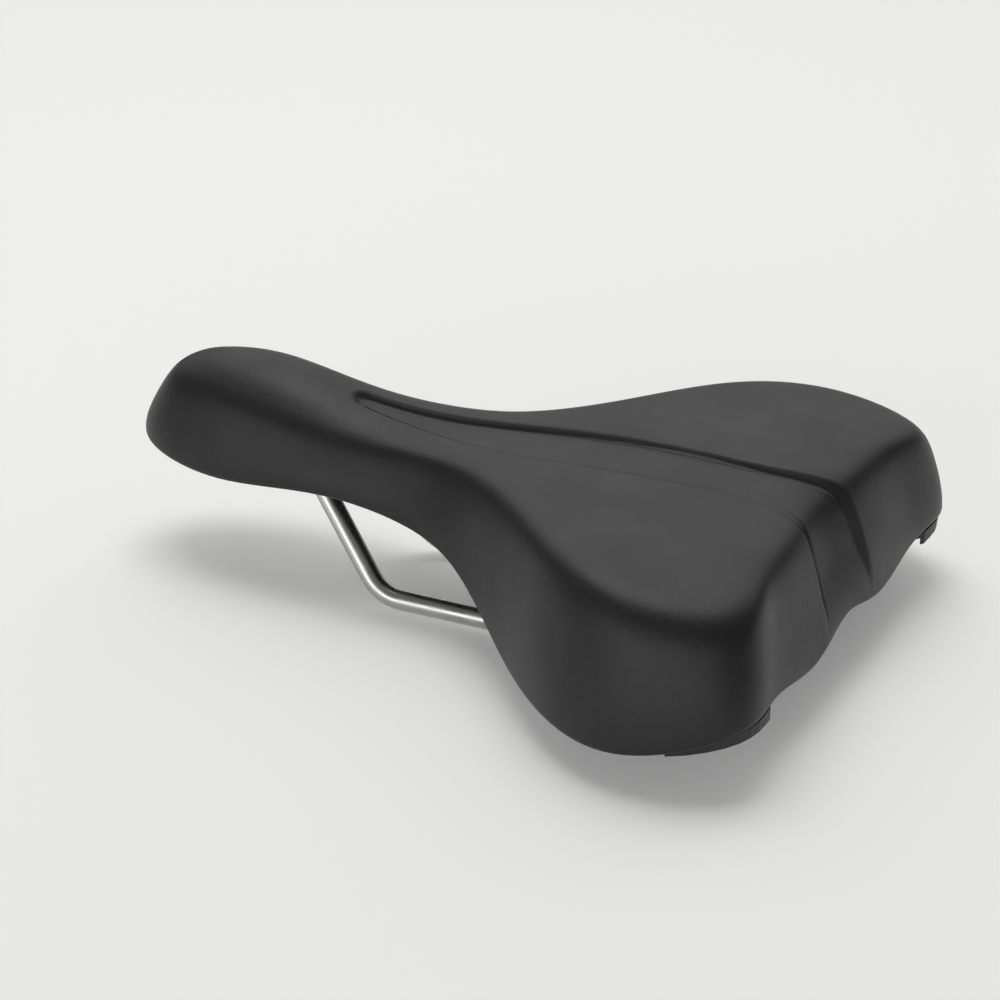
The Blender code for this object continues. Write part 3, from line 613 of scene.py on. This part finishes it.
def foam_surface():
    """Points of the closed pad: under the cover outwards, and over the base back to the spine."""
    ribs = Ribs(ring_places(COVER_RIBS // 2))
    outside = pressed(ribs, ribs.top(top_steps(ribs, TOP_STEPS // 2)))
    upper = offset(outside, -(COVER_WALL + FOAM_SLACK))
    lower = offset(ribs.base_top(FOAM_BASE_STEPS, FOAM_RIM_STEPS), FOAM_SEAT)
    upper[:, -1, 1] = ribs.bottom()
    lower[:, -1, 1] = ribs.bottom()
    return ribs.place(np.concatenate([upper, lower[:, ::-1]], axis=1))


points = foam_surface()
faces = grid_faces(*points.shape[:2], close_rows=True)
foam = make_piece("foam_core", points, faces, weld=WELD)
fit_for(foam, "foam_pad", "polyurethane_foam")
print("Foam faces:", len(foam.data.polygons))

# %% [markdown]
# ## The rail
#
# The rail is one steel rod, bent cold round a former. Its centre line is a polygon whose
# corners are replaced by circular arcs, and the rod is a circle carried along that line. The
# frame that carries the circle is turned as little as possible from point to point, so the
# surface doesn't twist.

# %% The rod's centre line
RAIL_DIAMETER = 7.0 * MM
RAIL_SPACING = 44.0 * MM
RAIL_LEVEL = 0.5 * RAIL_DIAMETER
RAIL_BEND = 16.0 * MM
RAIL_CHAMFER = 0.4 * MM
RAIL_ARC_STEP = 1.2 * MM
RAIL_STEP = 2.0 * MM
ROD_SIDES = 32
ROD_EDGE = radians(35)
DOUBLED = 1e-7
NEAR_SHARE = 0.3
NEARLY_UP = (0.0, 1e-3, 1.0)


def rounded_path(corners, radii, spacing):
    """A polyline whose corners are arcs, with points about a spacing apart on them.

    An arc of radius r that turns by an angle a starts r times tan(a/2) before the corner,
    and its centre lies r over cos(a/2) from the corner on the bisector.
    """
    points = [np.array(corners[0])[None]]
    for before, corner, after, radius in zip(corners, corners[1:], corners[2:], radii):
        corner = np.array(corner)
        back = (before - corner) / np.linalg.norm(before - corner)
        ahead = (after - corner) / np.linalg.norm(after - corner)
        turn = pi - np.arccos(np.clip(back @ ahead, -1, 1))
        half = (back + ahead) / np.linalg.norm(back + ahead)
        start = corner + back * radius * tan(turn / 2)
        centre = corner + half * radius / cos(turn / 2)
        out = (start - centre) / radius
        along = -back
        angle = np.linspace(0, turn, max(3, int(radius * turn / spacing)))[:, None]
        points.append(centre + radius * (out * np.cos(angle) + along * np.sin(angle)))
    points.append(np.array(corners[-1])[None])
    return np.concatenate(points)


def even_line(line, spacing):
    """The same line with its points about a spacing apart at most and never doubled.

    Even marks are added along the run, except near a point that is there already.
    """
    length = np.linalg.norm(np.diff(line, axis=0), axis=1)
    line = line[np.append(True, length > DOUBLED)]
    run = np.append(0, np.cumsum(np.linalg.norm(np.diff(line, axis=0), axis=1)))
    extra = np.arange(0, run[-1], spacing)
    room = np.min(np.abs(extra[:, None] - run), axis=1)
    marks = np.union1d(run, extra[room > NEAR_SHARE * spacing])
    return np.stack([np.interp(marks, run, column) for column in line.T], axis=1)


def sweep(line, radius, sides):
    """A round rod along a line, its frame carried forward with the least turning.

    Each step's side vector is the last one with its share along the new direction removed,
    so the circle keeps its bearing. A point is centre + radius (cos a side + sin a up). The
    first side is square to a direction that is nearly up, for a rod that starts upright.
    """
    step = np.gradient(line, axis=0)
    along = step / np.linalg.norm(step, axis=1, keepdims=True)
    start = np.cross(along[0], NEARLY_UP)
    side = [start / np.linalg.norm(start)]
    for direction in along[1:]:
        level = side[-1] - direction * (side[-1] @ direction)
        side.append(level / np.linalg.norm(level))
    side = np.array(side)
    up = np.cross(side, along)
    angle = np.arange(sides) * 2 * pi / sides
    ring = side[:, None] * np.cos(angle)[:, None] + up[:, None] * np.sin(angle)[:, None]
    return line[:, None] + radius * ring


def face_off(rod, line, chamfer):
    """A rod with its two ends cut square and chamfered, and the faces of its skin and ends.

    Each end's ring moves in by the chamfer, and a ring smaller by the chamfer closes it.
    """
    ends = []
    for ring, centre, beyond in ((rod[:1], line[0], line[1]), (rod[-1:], line[-1], line[-2])):
        radius = np.linalg.norm(ring[0, 0] - centre)
        inward = (beyond - centre) / np.linalg.norm(beyond - centre)
        ends.append((centre + (ring - centre) * (1 - chamfer / radius), ring + chamfer * inward))
    points = np.concatenate([ends[0][0], ends[0][1], rod[1:-1], ends[1][1], ends[1][0]])
    rows, sides = points.shape[:2]
    faces = grid_faces(rows, sides, close_columns=True)
    faces += [list(range(sides)), list(range((rows - 1) * sides, rows * sides))]
    return points, faces


def rod_piece(name, line, radius, sides, chamfer):
    """A finished rod, with each point's place on the straight rod kept as an attribute."""
    points, faces = face_off(sweep(line, radius, sides), line, chamfer)
    piece = make_piece(name, points, faces)
    run = np.concatenate([[0, 0], np.cumsum(np.linalg.norm(np.diff(line, axis=0), axis=1))])
    run = np.concatenate([run, run[-1:]])
    angle = np.arange(sides) * 2 * pi / sides
    straight = np.zeros(points.shape)
    straight[..., 0] = run[:, None]
    straight[..., 1] = radius * np.cos(angle)
    straight[..., 2] = radius * np.sin(angle)
    held = piece.data.attributes.new("straight", "FLOAT_VECTOR", "POINT")
    held.data.foreach_set("vector", straight.astype(np.float32).ravel())
    piece.data.set_sharp_from_angle(angle=ROD_EDGE)
    return piece


# %% Bend the rail
RAIL_NOSE_X = 96.0 * MM
RAIL_NOSE_Z = 43.5 * MM
RAIL_NOSE_HALF = 9.03 * MM
RAIL_REAR_END = np.array([-107.0, 44.0, 28.0]) * MM
RAIL_REAR_HEADING = np.array([-1.0, 0.30, 0.0])
RAIL_REAR_LENGTH = 30.0 * MM
RAIL_CLAMP_X = (-58.0 * MM, 29.0 * MM)
RAIL_KNEE = np.array([58.0, 12.03, 37.5]) * MM
NOSE_BEND_SHARE = 0.999


def rail_line():
    """The rod's centre line from the left free end round the nose to the right free end.

    The two bends at the nose are quarter circles, a hair smaller than half the width there,
    so that a short straight piece is left between them.
    """
    heading = RAIL_REAR_HEADING / np.linalg.norm(RAIL_REAR_HEADING)
    side = RAIL_SPACING / 2
    left = [
        RAIL_REAR_END,
        RAIL_REAR_END - heading * RAIL_REAR_LENGTH,
        np.array([RAIL_CLAMP_X[0], side, RAIL_LEVEL]),
        np.array([RAIL_CLAMP_X[1], side, RAIL_LEVEL]),
        RAIL_KNEE,
        np.array([RAIL_NOSE_X, RAIL_NOSE_HALF, RAIL_NOSE_Z]),
    ]
    corners = left + [corner * (1, -1, 1) for corner in left[::-1]]
    bends = [RAIL_BEND] * 4 + [RAIL_NOSE_HALF * NOSE_BEND_SHARE]
    return rounded_path(corners, bends + bends[::-1], RAIL_ARC_STEP)


line = even_line(rail_line(), RAIL_STEP)
rail = rod_piece("rail_rod", line, RAIL_DIAMETER / 2, ROD_SIDES, RAIL_CHAMFER)
fit_for(rail, "rail", "plated_steel")
print("Rail faces:", len(rail.data.polygons))

# %% [markdown]
# ## Screws
#
# Pan-head screws hold the nose retainer and the corner guards. A screw is a profile turned
# about its axis, with two changes: along the shank the radius follows a helix, which is the
# thread, and on the head's face the height dips in the form of a cross, which is the recess
# for the driver.

# %% Turn the screws
SCREW_RADIUS = 1.6 * MM
SCREW_CORE = 1.15 * MM
SCREW_PITCH = 1.3 * MM
HEAD_RADIUS = 3.2 * MM
HEAD_HEIGHT = 1.8 * MM
HEAD_WALL_SHARE = 0.45
HEAD_ROUND_SHARE = 0.28
HEAD_FACE_SHARE = 0.70
HEAD_FACE_ROWS = 26
RECESS_REACH = 1.75 * MM
RECESS_TAPER = 0.8 * MM
RECESS_WIDTH = 0.75 * MM
RECESS_WALL = 0.24 * MM
RECESS_DEPTH = 1.0 * MM
SCREW_NECK = 0.6 * MM
THREAD_CREST = 1.5
SCREW_SIDES = 48
SCREW_WELD = 0.002 * MM
SCREW_EDGE = radians(50)


def cross_recess(x, y):
    """Depth of the driver's cross: full in two crossed slots, with sloping walls and ends.

    It is the depth times an S-curve across the nearer slot's wall times a ramp at its ends.
    """
    reach = np.hypot(x, y)
    narrow = np.minimum(np.abs(x), np.abs(y))
    slot = smooth(0.5 + (0.5 * RECESS_WIDTH - narrow) / RECESS_WALL)
    return RECESS_DEPTH * slot * np.clip((RECESS_REACH - reach) / RECESS_TAPER, 0, 1)


def screw_piece(name, place, length):
    """A screw with its seat at a place, its shank up and its head down.

    The profile runs from the tip to the middle of the head. The thread's radius is the core
    plus a triangle wave of height over pitch minus angle over one turn, with its crests
    sharpened by a power, and it fades out towards the tip.
    """
    shank = np.arange(length - SCREW_RADIUS, SCREW_NECK, -SCREW_PITCH / 8)
    tip = np.array([(0.0, length), (0.6 * SCREW_CORE, length), (SCREW_CORE, length - SCREW_RADIUS)])
    bend = np.linspace(0, pi / 2, 7)
    crown_out = HEAD_RADIUS * (1 - HEAD_ROUND_SHARE * (1 - np.cos(bend)))
    crown_up = -HEAD_HEIGHT * (HEAD_WALL_SHARE + (1 - HEAD_WALL_SHARE) * np.sin(bend))
    crown = np.stack([crown_out, crown_up], axis=1)
    face_out = HEAD_RADIUS * np.linspace(HEAD_FACE_SHARE, 0, HEAD_FACE_ROWS)
    face = np.stack([face_out, np.full(HEAD_FACE_ROWS, -HEAD_HEIGHT)], axis=1)
    body = np.stack([np.full(len(shank), SCREW_CORE), shank], axis=1)
    seat = np.array([(SCREW_CORE, 0.0), (HEAD_RADIUS, 0.0)])
    profile = np.concatenate([tip, body, seat, crown, face])
    angle = np.arange(SCREW_SIDES) * 2 * pi / SCREW_SIDES
    radius = np.repeat(profile[:, :1], SCREW_SIDES, axis=1)
    height = np.repeat(profile[:, 1:], SCREW_SIDES, axis=1)
    rows = slice(len(tip), len(tip) + len(body))
    turn = (height[rows] / SCREW_PITCH - angle / (2 * pi)) % 1
    fade = smooth((length - SCREW_RADIUS - height[rows]) / SCREW_RADIUS)
    crest = (1 - np.abs(2 * turn - 1)) ** THREAD_CREST
    radius[rows] += (SCREW_RADIUS - SCREW_CORE) * crest * fade
    x, y = radius * np.cos(angle), radius * np.sin(angle)
    front = slice(len(profile) - len(face), len(profile))
    height[front] += cross_recess(x[front], y[front])
    points = np.stack([x, y, height], axis=-1) + np.array(place)
    faces = grid_faces(*radius.shape, close_columns=True)
    piece = make_piece(name, points, faces, weld=SCREW_WELD)
    piece.data.set_sharp_from_angle(angle=SCREW_EDGE)
    return piece


screws = []
for node in sorted(n for n in frame["nodes"] if "screw" in n):
    low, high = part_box(node)
    seat = ((low.x + high.x) / 2, (low.y + high.y) / 2, low.z + HEAD_HEIGHT)
    screw = screw_piece(node.replace("screw", "pan_screw"), seat, high.z - seat[2])
    screws.append(fit_for(screw, node, "zinc_plated_steel"))
print("Screws:", len(screws), "faces each:", len(screws[0].data.polygons))

# %% [markdown]
# ## Staples
#
# The hem is held by staples shot through the cover into the base. Each is a wire bent into a
# U. Its crown lies on the hem along the edge, and its legs go through hem and rim. Their
# place and bearing come from the hem's own surface, at the middles of seven of the strips
# between the CAD loft's ribs on each side.

# %% Bend the staples
STAPLE_STRIPS = (1, 6, 8, 10, 13, 17, 21)
LOFT_STRIPS = 25
STAPLE_CROWN = 9.0 * MM
STAPLE_WIRE = 0.45 * MM
STAPLE_BEND = 0.9 * MM
STAPLE_REACH = 2.1 * MM
STAPLE_GAP = 0.2 * MM
STAPLE_LEVEL = 0.375
STAPLE_PROBE = 0.2
STAPLE_ARC_STEP = 0.3 * MM
STAPLE_STEP = 0.35 * MM
STAPLE_SIDES = 10
STAPLE_CHAMFER = 0.1 * MM


def hem_patch(places):
    """World points of the hem's free side just below, at and above the staples' level."""
    ribs = Ribs(places)
    path = ribs.tuck(BASE_WALL + CLEARANCE + COVER_WALL, HEM_STEPS)
    row = round(STAPLE_LEVEL * HEM_STEPS)
    return ribs.place(path)[:, row - 1 : row + 2]


def unit(vectors):
    """Vectors made one long."""
    return vectors / np.linalg.norm(vectors, axis=1, keepdims=True)


def staple_frames():
    """Place, edge direction and inward direction of each staple, left side then right side.

    The direction along the edge is read a little before and after the staple, and the inward
    one is its cross product with the way up the hem.
    """
    middle = (np.array(STAPLE_STRIPS) + 0.5) * 0.5 * RING / LOFT_STRIPS
    places = np.concatenate([middle, RING - middle])
    here = hem_patch(places)
    before, after = hem_patch(places - STAPLE_PROBE), hem_patch(places + STAPLE_PROBE)
    along = unit(after[:, 1] - before[:, 1])
    inward = unit(np.cross(along, here[:, 2] - here[:, 0]))
    return here[:, 1], along, inward


staples = []
numbers = range(1, len(STAPLE_STRIPS) + 1)
names = [f"{side}_staple_{number}" for side in ("left", "right") for number in numbers]
for node, middle, along, inward in zip(names, *staple_frames()):
    seat = middle + inward * (STAPLE_WIRE + STAPLE_GAP)
    half = (0.5 * STAPLE_CROWN - STAPLE_WIRE) * along
    depth = inward * (STAPLE_REACH + STAPLE_WIRE + STAPLE_GAP)
    corners = [seat - half - depth, seat - half, seat + half, seat + half - depth]
    line = even_line(rounded_path(corners, [STAPLE_BEND] * 2, STAPLE_ARC_STEP), STAPLE_STEP)
    name = node.replace("staple", "wire_staple")
    staple = rod_piece(name, line, STAPLE_WIRE, STAPLE_SIDES, STAPLE_CHAMFER)
    staples.append(fit_for(staple, node, "zinc_plated_steel"))
print("Staples:", len(staples))

# %% [markdown]
# ## Finishes
#
# Each finish starts from what the real surface is and how it was made. The patterns read
# Object coordinates, which are metres here, so a noise of scale 1000 has cells of about one
# millimetre, and a bump's distance is the real height of the relief. One helper lets patterns
# shape a finish in up to three ways: as relief, as gloss and as tone.

# %% From patterns to a finish
PATTERN_LOW, PATTERN_HIGH = 0.3, 0.7
# A Mix node's sockets for the factor and the two colours, and for their blend
BLEND_INPUTS, BLEND_OUTPUT = (0, 6, 7), 2


def shape_finish(tree, shader, relief=None, gloss=None, tone=None):
    """Let patterns give a shader its relief, its gloss and its tone.

    The relief is a pattern, how strongly it tilts the surface, and its real height. The gloss
    is a pattern and the two roughnesses at the ends of its middle range, where most of its
    values lie. The tone is a pattern and the two hex colours that it blends.
    """
    if relief:
        inputs = dict(zip(("Height", "Strength", "Distance"), relief))
        bump = add_node(tree, "ShaderNodeBump", inputs)
        tree.links.new(bump.outputs["Normal"], shader.inputs["Normal"])
    if gloss:
        inputs = dict(zip(("Value", "To Min", "To Max"), gloss))
        inputs.update({"From Min": PATTERN_LOW, "From Max": PATTERN_HIGH})
        rough = add_node(tree, "ShaderNodeMapRange", inputs)
        tree.links.new(rough.outputs["Result"], shader.inputs["Roughness"])
    if tone:
        pattern, first, second = tone
        inputs = dict(zip(BLEND_INPUTS, (pattern, linear(first), linear(second))))
        blend = add_node(tree, "ShaderNodeMix", inputs, data_type="RGBA")
        tree.links.new(blend.outputs[BLEND_OUTPUT], shader.inputs["Base Color"])


# %% PU leathercloth, embossed
PEBBLE_WIDTH = 1.1 * MM
PEBBLE_HEIGHT = 0.09 * MM
PORE_WIDTH = 0.35 * MM
STRETCH_MARKS_PER_MM = 0.045
LEATHERCLOTH_IOR = 1.4


def leathercloth():
    """Polyurethane-coated knit with a fine embossed grain.

    The coating is an even black with a soft gloss. The embossing roll presses shallow
    pebbles about a millimetre across, and the film varies a little in gloss where it was
    stretched. The eye sees a broad, slightly broken sheen and no colour. Polyurethane's own
    IOR is about 1.5, and 1.4 stands for the mirroring that its finest pores swallow.
    """
    material, tree, shader = start_material("black_pu_leathercloth", "#1e1e1f", 0.44)
    place = add_node(tree, "ShaderNodeTexCoord").outputs["Object"]
    pebbles = add_node(
        tree,
        "ShaderNodeTexVoronoi",
        {"Vector": place, "Scale": 1 / PEBBLE_WIDTH, "Randomness": 0.9},
        feature="SMOOTH_F1",
    )
    pores = add_node(
        tree,
        "ShaderNodeTexNoise",
        {"Vector": place, "Scale": 1 / PORE_WIDTH, "Detail": 2.0},
    )
    grain = add_node(
        tree,
        "ShaderNodeMath",
        {0: pebbles.outputs["Distance"], 1: -0.8, 2: pores.outputs["Fac"]},
        operation="MULTIPLY_ADD",
    )
    clouds = add_node(
        tree,
        "ShaderNodeTexNoise",
        {"Vector": place, "Scale": STRETCH_MARKS_PER_MM / MM, "Detail": 3.0},
    ).outputs["Fac"]
    shape_finish(
        tree,
        shader,
        relief=(grain.outputs[0], 0.6, PEBBLE_HEIGHT),
        gloss=(clouds, 0.40, 0.48),
        tone=(clouds, "#1c1c1d", "#202021"),
    )
    shader.inputs["IOR"].default_value = LEATHERCLOTH_IOR
    return material


# %% Polypropylene, moulded
GRITS_PER_MM = 3.2
GRIT_HEIGHT = 0.03 * MM
FLOW_MARKS_PER_MM = 0.03


def polypropylene():
    """Black polypropylene moulded against a spark-eroded steel tool.

    The tool leaves a fine even grit of about 0.3 mm, which makes the plastic look satin and
    slightly greyer than gloss black. It shows on the base, the retainer and the guards.
    """
    material, tree, shader = start_material("black_polypropylene", "#1d1d1e", 0.48)
    place = add_node(tree, "ShaderNodeTexCoord").outputs["Object"]
    grit = add_node(
        tree,
        "ShaderNodeTexNoise",
        {"Vector": place, "Scale": GRITS_PER_MM / MM, "Detail": 1.0},
    ).outputs["Fac"]
    flow = add_node(
        tree,
        "ShaderNodeTexNoise",
        {"Vector": place, "Scale": FLOW_MARKS_PER_MM / MM, "Detail": 4.0, "Distortion": 0.6},
    ).outputs["Fac"]
    shape_finish(tree, shader, relief=(grit, 0.5, GRIT_HEIGHT), gloss=(flow, 0.42, 0.54))
    return material


# %% Steel rod, drawn and nickel-plated
DRAWN_LINES_PER_MM = 2.6
DRAWN_LINE_HEIGHT = 0.02 * MM
DRAWN_OUT = (0.03, 1.0, 1.0)
PLATING_SPOTS_PER_MM = 0.16


def plated_rod():
    """Spring steel rod, drawn through a die and dull nickel-plated.

    Drawing leaves faint lines along the rod, some tenths of a millimetre apart and many
    millimetres long. The lines follow the rod round its bends, so they read the place that
    each point has on the straight rod.
    """
    material, tree, shader = start_material("dull_nickel_plated_steel", "#c4c4c2", 0.30, 1.0)
    straight = add_node(tree, "ShaderNodeAttribute", attribute_name="straight").outputs["Vector"]
    stretched = add_node(tree, "ShaderNodeMapping", {"Vector": straight, "Scale": DRAWN_OUT})
    lines = add_node(
        tree,
        "ShaderNodeTexNoise",
        {"Vector": stretched.outputs["Vector"], "Scale": DRAWN_LINES_PER_MM / MM, "Detail": 2.0},
    ).outputs["Fac"]
    spots = add_node(
        tree,
        "ShaderNodeTexNoise",
        {"Vector": straight, "Scale": PLATING_SPOTS_PER_MM / MM, "Detail": 4.0},
    ).outputs["Fac"]
    shape_finish(
        tree,
        shader,
        relief=(lines, 0.25, DRAWN_LINE_HEIGHT),
        gloss=(spots, 0.24, 0.36),
        tone=(spots, "#bdbdbb", "#cbcbca"),
    )
    return material


# %% Zinc-plated fasteners
MOTTLES_PER_MM = 0.9


def zinc_plate():
    """Bright zinc on steel wire and screws, with the passivation's faint mottling."""
    material, tree, shader = start_material("clear_zinc_plated_steel", "#c3c5c6", 0.34, 1.0)
    place = add_node(tree, "ShaderNodeTexCoord").outputs["Object"]
    mottling = add_node(
        tree,
        "ShaderNodeTexNoise",
        {"Vector": place, "Scale": MOTTLES_PER_MM / MM, "Detail": 3.0},
    ).outputs["Fac"]
    gloss, tone = (mottling, 0.27, 0.42), (mottling, "#b4b7b9", "#d0d1cf")
    shape_finish(tree, shader, gloss=gloss, tone=tone)
    return material


# %% Polyurethane foam with its skin
CELLS_PER_MM = 1.4
CELL_DEPTH = 0.12 * MM


def skinned_foam():
    """Dark flexible polyurethane foam. Its skin is matte and pocked with tiny open cells, whose pits
    are painted darker as painted shade.
    """
    material, tree, shader = start_material("grey_polyurethane_foam", "#5a5956", 0.92)
    place = add_node(tree, "ShaderNodeTexCoord").outputs["Object"]
    pits_and_painted_shade = add_node(
        tree,
        "ShaderNodeTexVoronoi",
        {"Vector": place, "Scale": CELLS_PER_MM / MM},
    ).outputs["Distance"]
    # The cells' pattern gives the pits their depth and also paints them darker: painted shade in the
    # pits.
    relief, tone = (pits_and_painted_shade, 0.8, CELL_DEPTH), (pits_and_painted_shade, "#4a4946", "#6a6965")
    shape_finish(tree, shader, relief=relief, tone=tone)
    return material


# %% Nylon sleeves
FIBRES_PER_MM = 3.0
FIBRE_HEIGHT = 0.02 * MM
FIBRE_ALONG = (0.25, 1.0, 1.0)


def moulded_nylon():
    """Black glass-filled nylon, satin, with short light flecks where fibres meet the surface."""
    material, tree, shader = start_material("black_glass_filled_nylon", "#222224", 0.42)
    place = add_node(tree, "ShaderNodeTexCoord").outputs["Object"]
    drawn = add_node(tree, "ShaderNodeMapping", {"Vector": place, "Scale": FIBRE_ALONG})
    fibres = add_node(
        tree,
        "ShaderNodeTexNoise",
        {"Vector": drawn.outputs["Vector"], "Scale": FIBRES_PER_MM / MM, "Detail": 2.0},
    ).outputs["Fac"]
    relief, tone = (fibres, 0.3, FIBRE_HEIGHT), (fibres, "#1c1c1e", "#2c2c2e")
    shape_finish(tree, shader, relief=relief, tone=tone)
    return material


# %% Give every piece its finish
finishes = {
    "synthetic_leather": leathercloth(),
    "polyurethane_foam": skinned_foam(),
    "moulded_polypropylene": polypropylene(),
    "plated_steel": plated_rod(),
    "zinc_plated_steel": zinc_plate(),
    "nylon": moulded_nylon(),
}
for piece in [cover, foam, rail, *screws, *staples]:
    piece.data.materials.append(finishes[piece["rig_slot"]])
slots = {entry["node"]: entry["material_slot"] for entry in frame["record"]["subparts"]}
for name, node in frame["nodes"].items():
    for material_slot in node.material_slots:
        material_slot.material = finishes[slots[name]]
print("Finishes:", ", ".join(material.name for material in finishes.values()))

# %% [markdown]
# ## The studio
#
# The saddle stands on its rail on a pale floor. Black leathercloth shows mostly what it
# mirrors, so the light is placed by mirror directions: the flat top mirrors a wide soft glow
# beyond the saddle, the skirt mirrors a low one on the camera's side, and the room between
# them stays dim, so the rounded shoulders read dark. One soft lamp overhead lights the floor
# and gives the shadow.

# %% Floor
FLOOR_RADIUS = 4.0
FLOOR_SIDES = 96
FLOOR_LIFT = 0.20


def studio_floor():
    """A flat disc under the rail, pale grey and matt.

    It gives a little light of its own to the camera and to mirror rays only, which lifts its
    tone in the picture and in what the saddle mirrors, and lights nothing.
    """
    angle = np.arange(FLOOR_SIDES) * 2 * pi / FLOOR_SIDES
    rim = np.stack([np.cos(angle), np.sin(angle), 0 * angle], axis=1)
    mesh = bpy.data.meshes.new("studio_floor")
    mesh.from_pydata((FLOOR_RADIUS * rim).tolist(), [], [list(range(FLOOR_SIDES))])
    material, tree, shader = start_material("pale_matt_floor", "#ececea", 0.9)
    ray = add_node(tree, "ShaderNodeLightPath").outputs
    mirrored = add_node(
        tree,
        "ShaderNodeMath",
        {0: ray["Is Glossy Ray"], 1: ray["Is Transmission Ray"]},
        operation="MAXIMUM",
    )
    seen = add_node(
        tree,
        "ShaderNodeMath",
        {0: ray["Is Camera Ray"], 1: mirrored.outputs[0]},
        operation="MAXIMUM",
    )
    lift = add_node(
        tree,
        "ShaderNodeMath",
        {0: seen.outputs[0], 1: FLOOR_LIFT},
        operation="MULTIPLY",
    )
    shader.inputs["Emission Color"].default_value = linear("#ffffff")
    tree.links.new(lift.outputs[0], shader.inputs["Emission Strength"])
    mesh.materials.append(material)
    floor = add_object("studio_floor", mesh)
    floor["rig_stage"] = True


studio_floor()
print("Floor radius in m:", FLOOR_RADIUS)


# %% The lamp overhead
SOFTBOX_PLACE = (0.30, -0.35, 1.75)
SOFTBOX_AIM = (0.0, 0.0, 0.045)
SOFTBOX_SIZE = (1.2, 1.0)
SOFTBOX_WATTS = 12.5


def aim(thing, place, target):
    """Put a lamp or a camera at a place, upright and looking at a target."""
    thing.location = place
    way = Vector(target) - Vector(place)
    thing.rotation_euler = way.to_track_quat("-Z", "Y").to_euler()


def high_softbox():
    """A rectangular area light over the saddle."""
    lamp = bpy.data.lights.new("high_softbox", "AREA")
    lamp.shape = "RECTANGLE"
    lamp.size, lamp.size_y = SOFTBOX_SIZE
    lamp.energy = SOFTBOX_WATTS
    aim(add_object("high_softbox", lamp), SOFTBOX_PLACE, SOFTBOX_AIM)


high_softbox()
print("Lamp's height in m:", SOFTBOX_PLACE[2])


# %% The glows in the room
ROOM_LEVEL = 0.15
GLOWS = (
    # middle, cosines at the rim and where it is full, heights where it is out and full, strength
    ((0.40, -0.81, 0.62), 0.60, 0.93, 0.06, 0.38, 0.95),
    ((0.02, 0.99, 0.08), 0.53, 0.94, 0.45, 0.10, 2.9),
)


def studio_world():
    """A dim room with soft glows, as of lit screens: one beyond the saddle, a low one before it.

    A glow is its strength times two S-curves: one of the cosine between the direction and the
    glow's middle, and one of the direction's height, which keeps it clear of the horizon or low.
    """
    world = bpy.data.worlds.new("studio_world")
    bpy.context.scene.world = world
    world.use_nodes = True
    tree = world.node_tree
    tree.nodes.clear()
    direction = add_node(tree, "ShaderNodeTexCoord").outputs["Generated"]
    height = add_node(tree, "ShaderNodeSeparateXYZ", {"Vector": direction}).outputs["Z"]
    level = ROOM_LEVEL
    for middle, rim, full, out, lit, strength in GLOWS:
        nearness = add_node(
            tree,
            "ShaderNodeVectorMath",
            {0: direction, 1: Vector(middle).normalized()},
            operation="DOT_PRODUCT",
        ).outputs["Value"]
        around, across = (
            add_node(
                tree,
                "ShaderNodeMapRange",
                {"Value": value, "From Min": low, "From Max": high, "To Min": 0.0, "To Max": top},
                interpolation_type="SMOOTHSTEP",
            ).outputs["Result"]
            for value, low, high, top in ((nearness, rim, full, strength), (height, out, lit, 1.0))
        )
        level = add_node(
            tree,
            "ShaderNodeMath",
            {0: around, 1: across, 2: level},
            operation="MULTIPLY_ADD",
        ).outputs[0]
    room = add_node(tree, "ShaderNodeBackground", {"Color": linear("#ffffff"), "Strength": level})
    add_node(tree, "ShaderNodeOutputWorld", {"Surface": room.outputs[0]})


studio_world()
print("Glows in the room:", len(GLOWS))

# %% [markdown]
# ## The camera
#
# The camera looks from behind the rider's left at about 25 degrees above the level, from
# about 1.1 m, as in the photograph. A longer lens brings the saddle up to fill the picture,
# which leaves the perspective as it was.

# %% Camera
CAMERA_PLACE = (-0.4507, 0.9062, 0.5071)
CAMERA_TARGET = (-0.004, 0.0, 0.036)
LENS = 122.0
SENSOR_WIDTH = 36.0
NEAR_LIMIT = 0.05


def photo_camera():
    """The camera at the photograph's place, upright, aimed at the saddle."""
    lens = bpy.data.cameras.new("photo_camera")
    lens.lens = LENS
    lens.sensor_width = SENSOR_WIDTH
    lens.clip_start = NEAR_LIMIT
    camera = add_object("photo_camera", lens)
    aim(camera, CAMERA_PLACE, CAMERA_TARGET)
    bpy.context.scene.camera = camera


photo_camera()
distance = (Vector(CAMERA_TARGET) - Vector(CAMERA_PLACE)).length
print("Camera's distance in m:", round(distance, 3))
bpy.context.scene.view_settings.view_transform = "Standard"

# %% [markdown]
# ## The dressed saddle's box
#
# The dressed saddle must keep the CAD's size, so its box is worked out.

# %% The box of the dressed saddle
low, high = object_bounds()
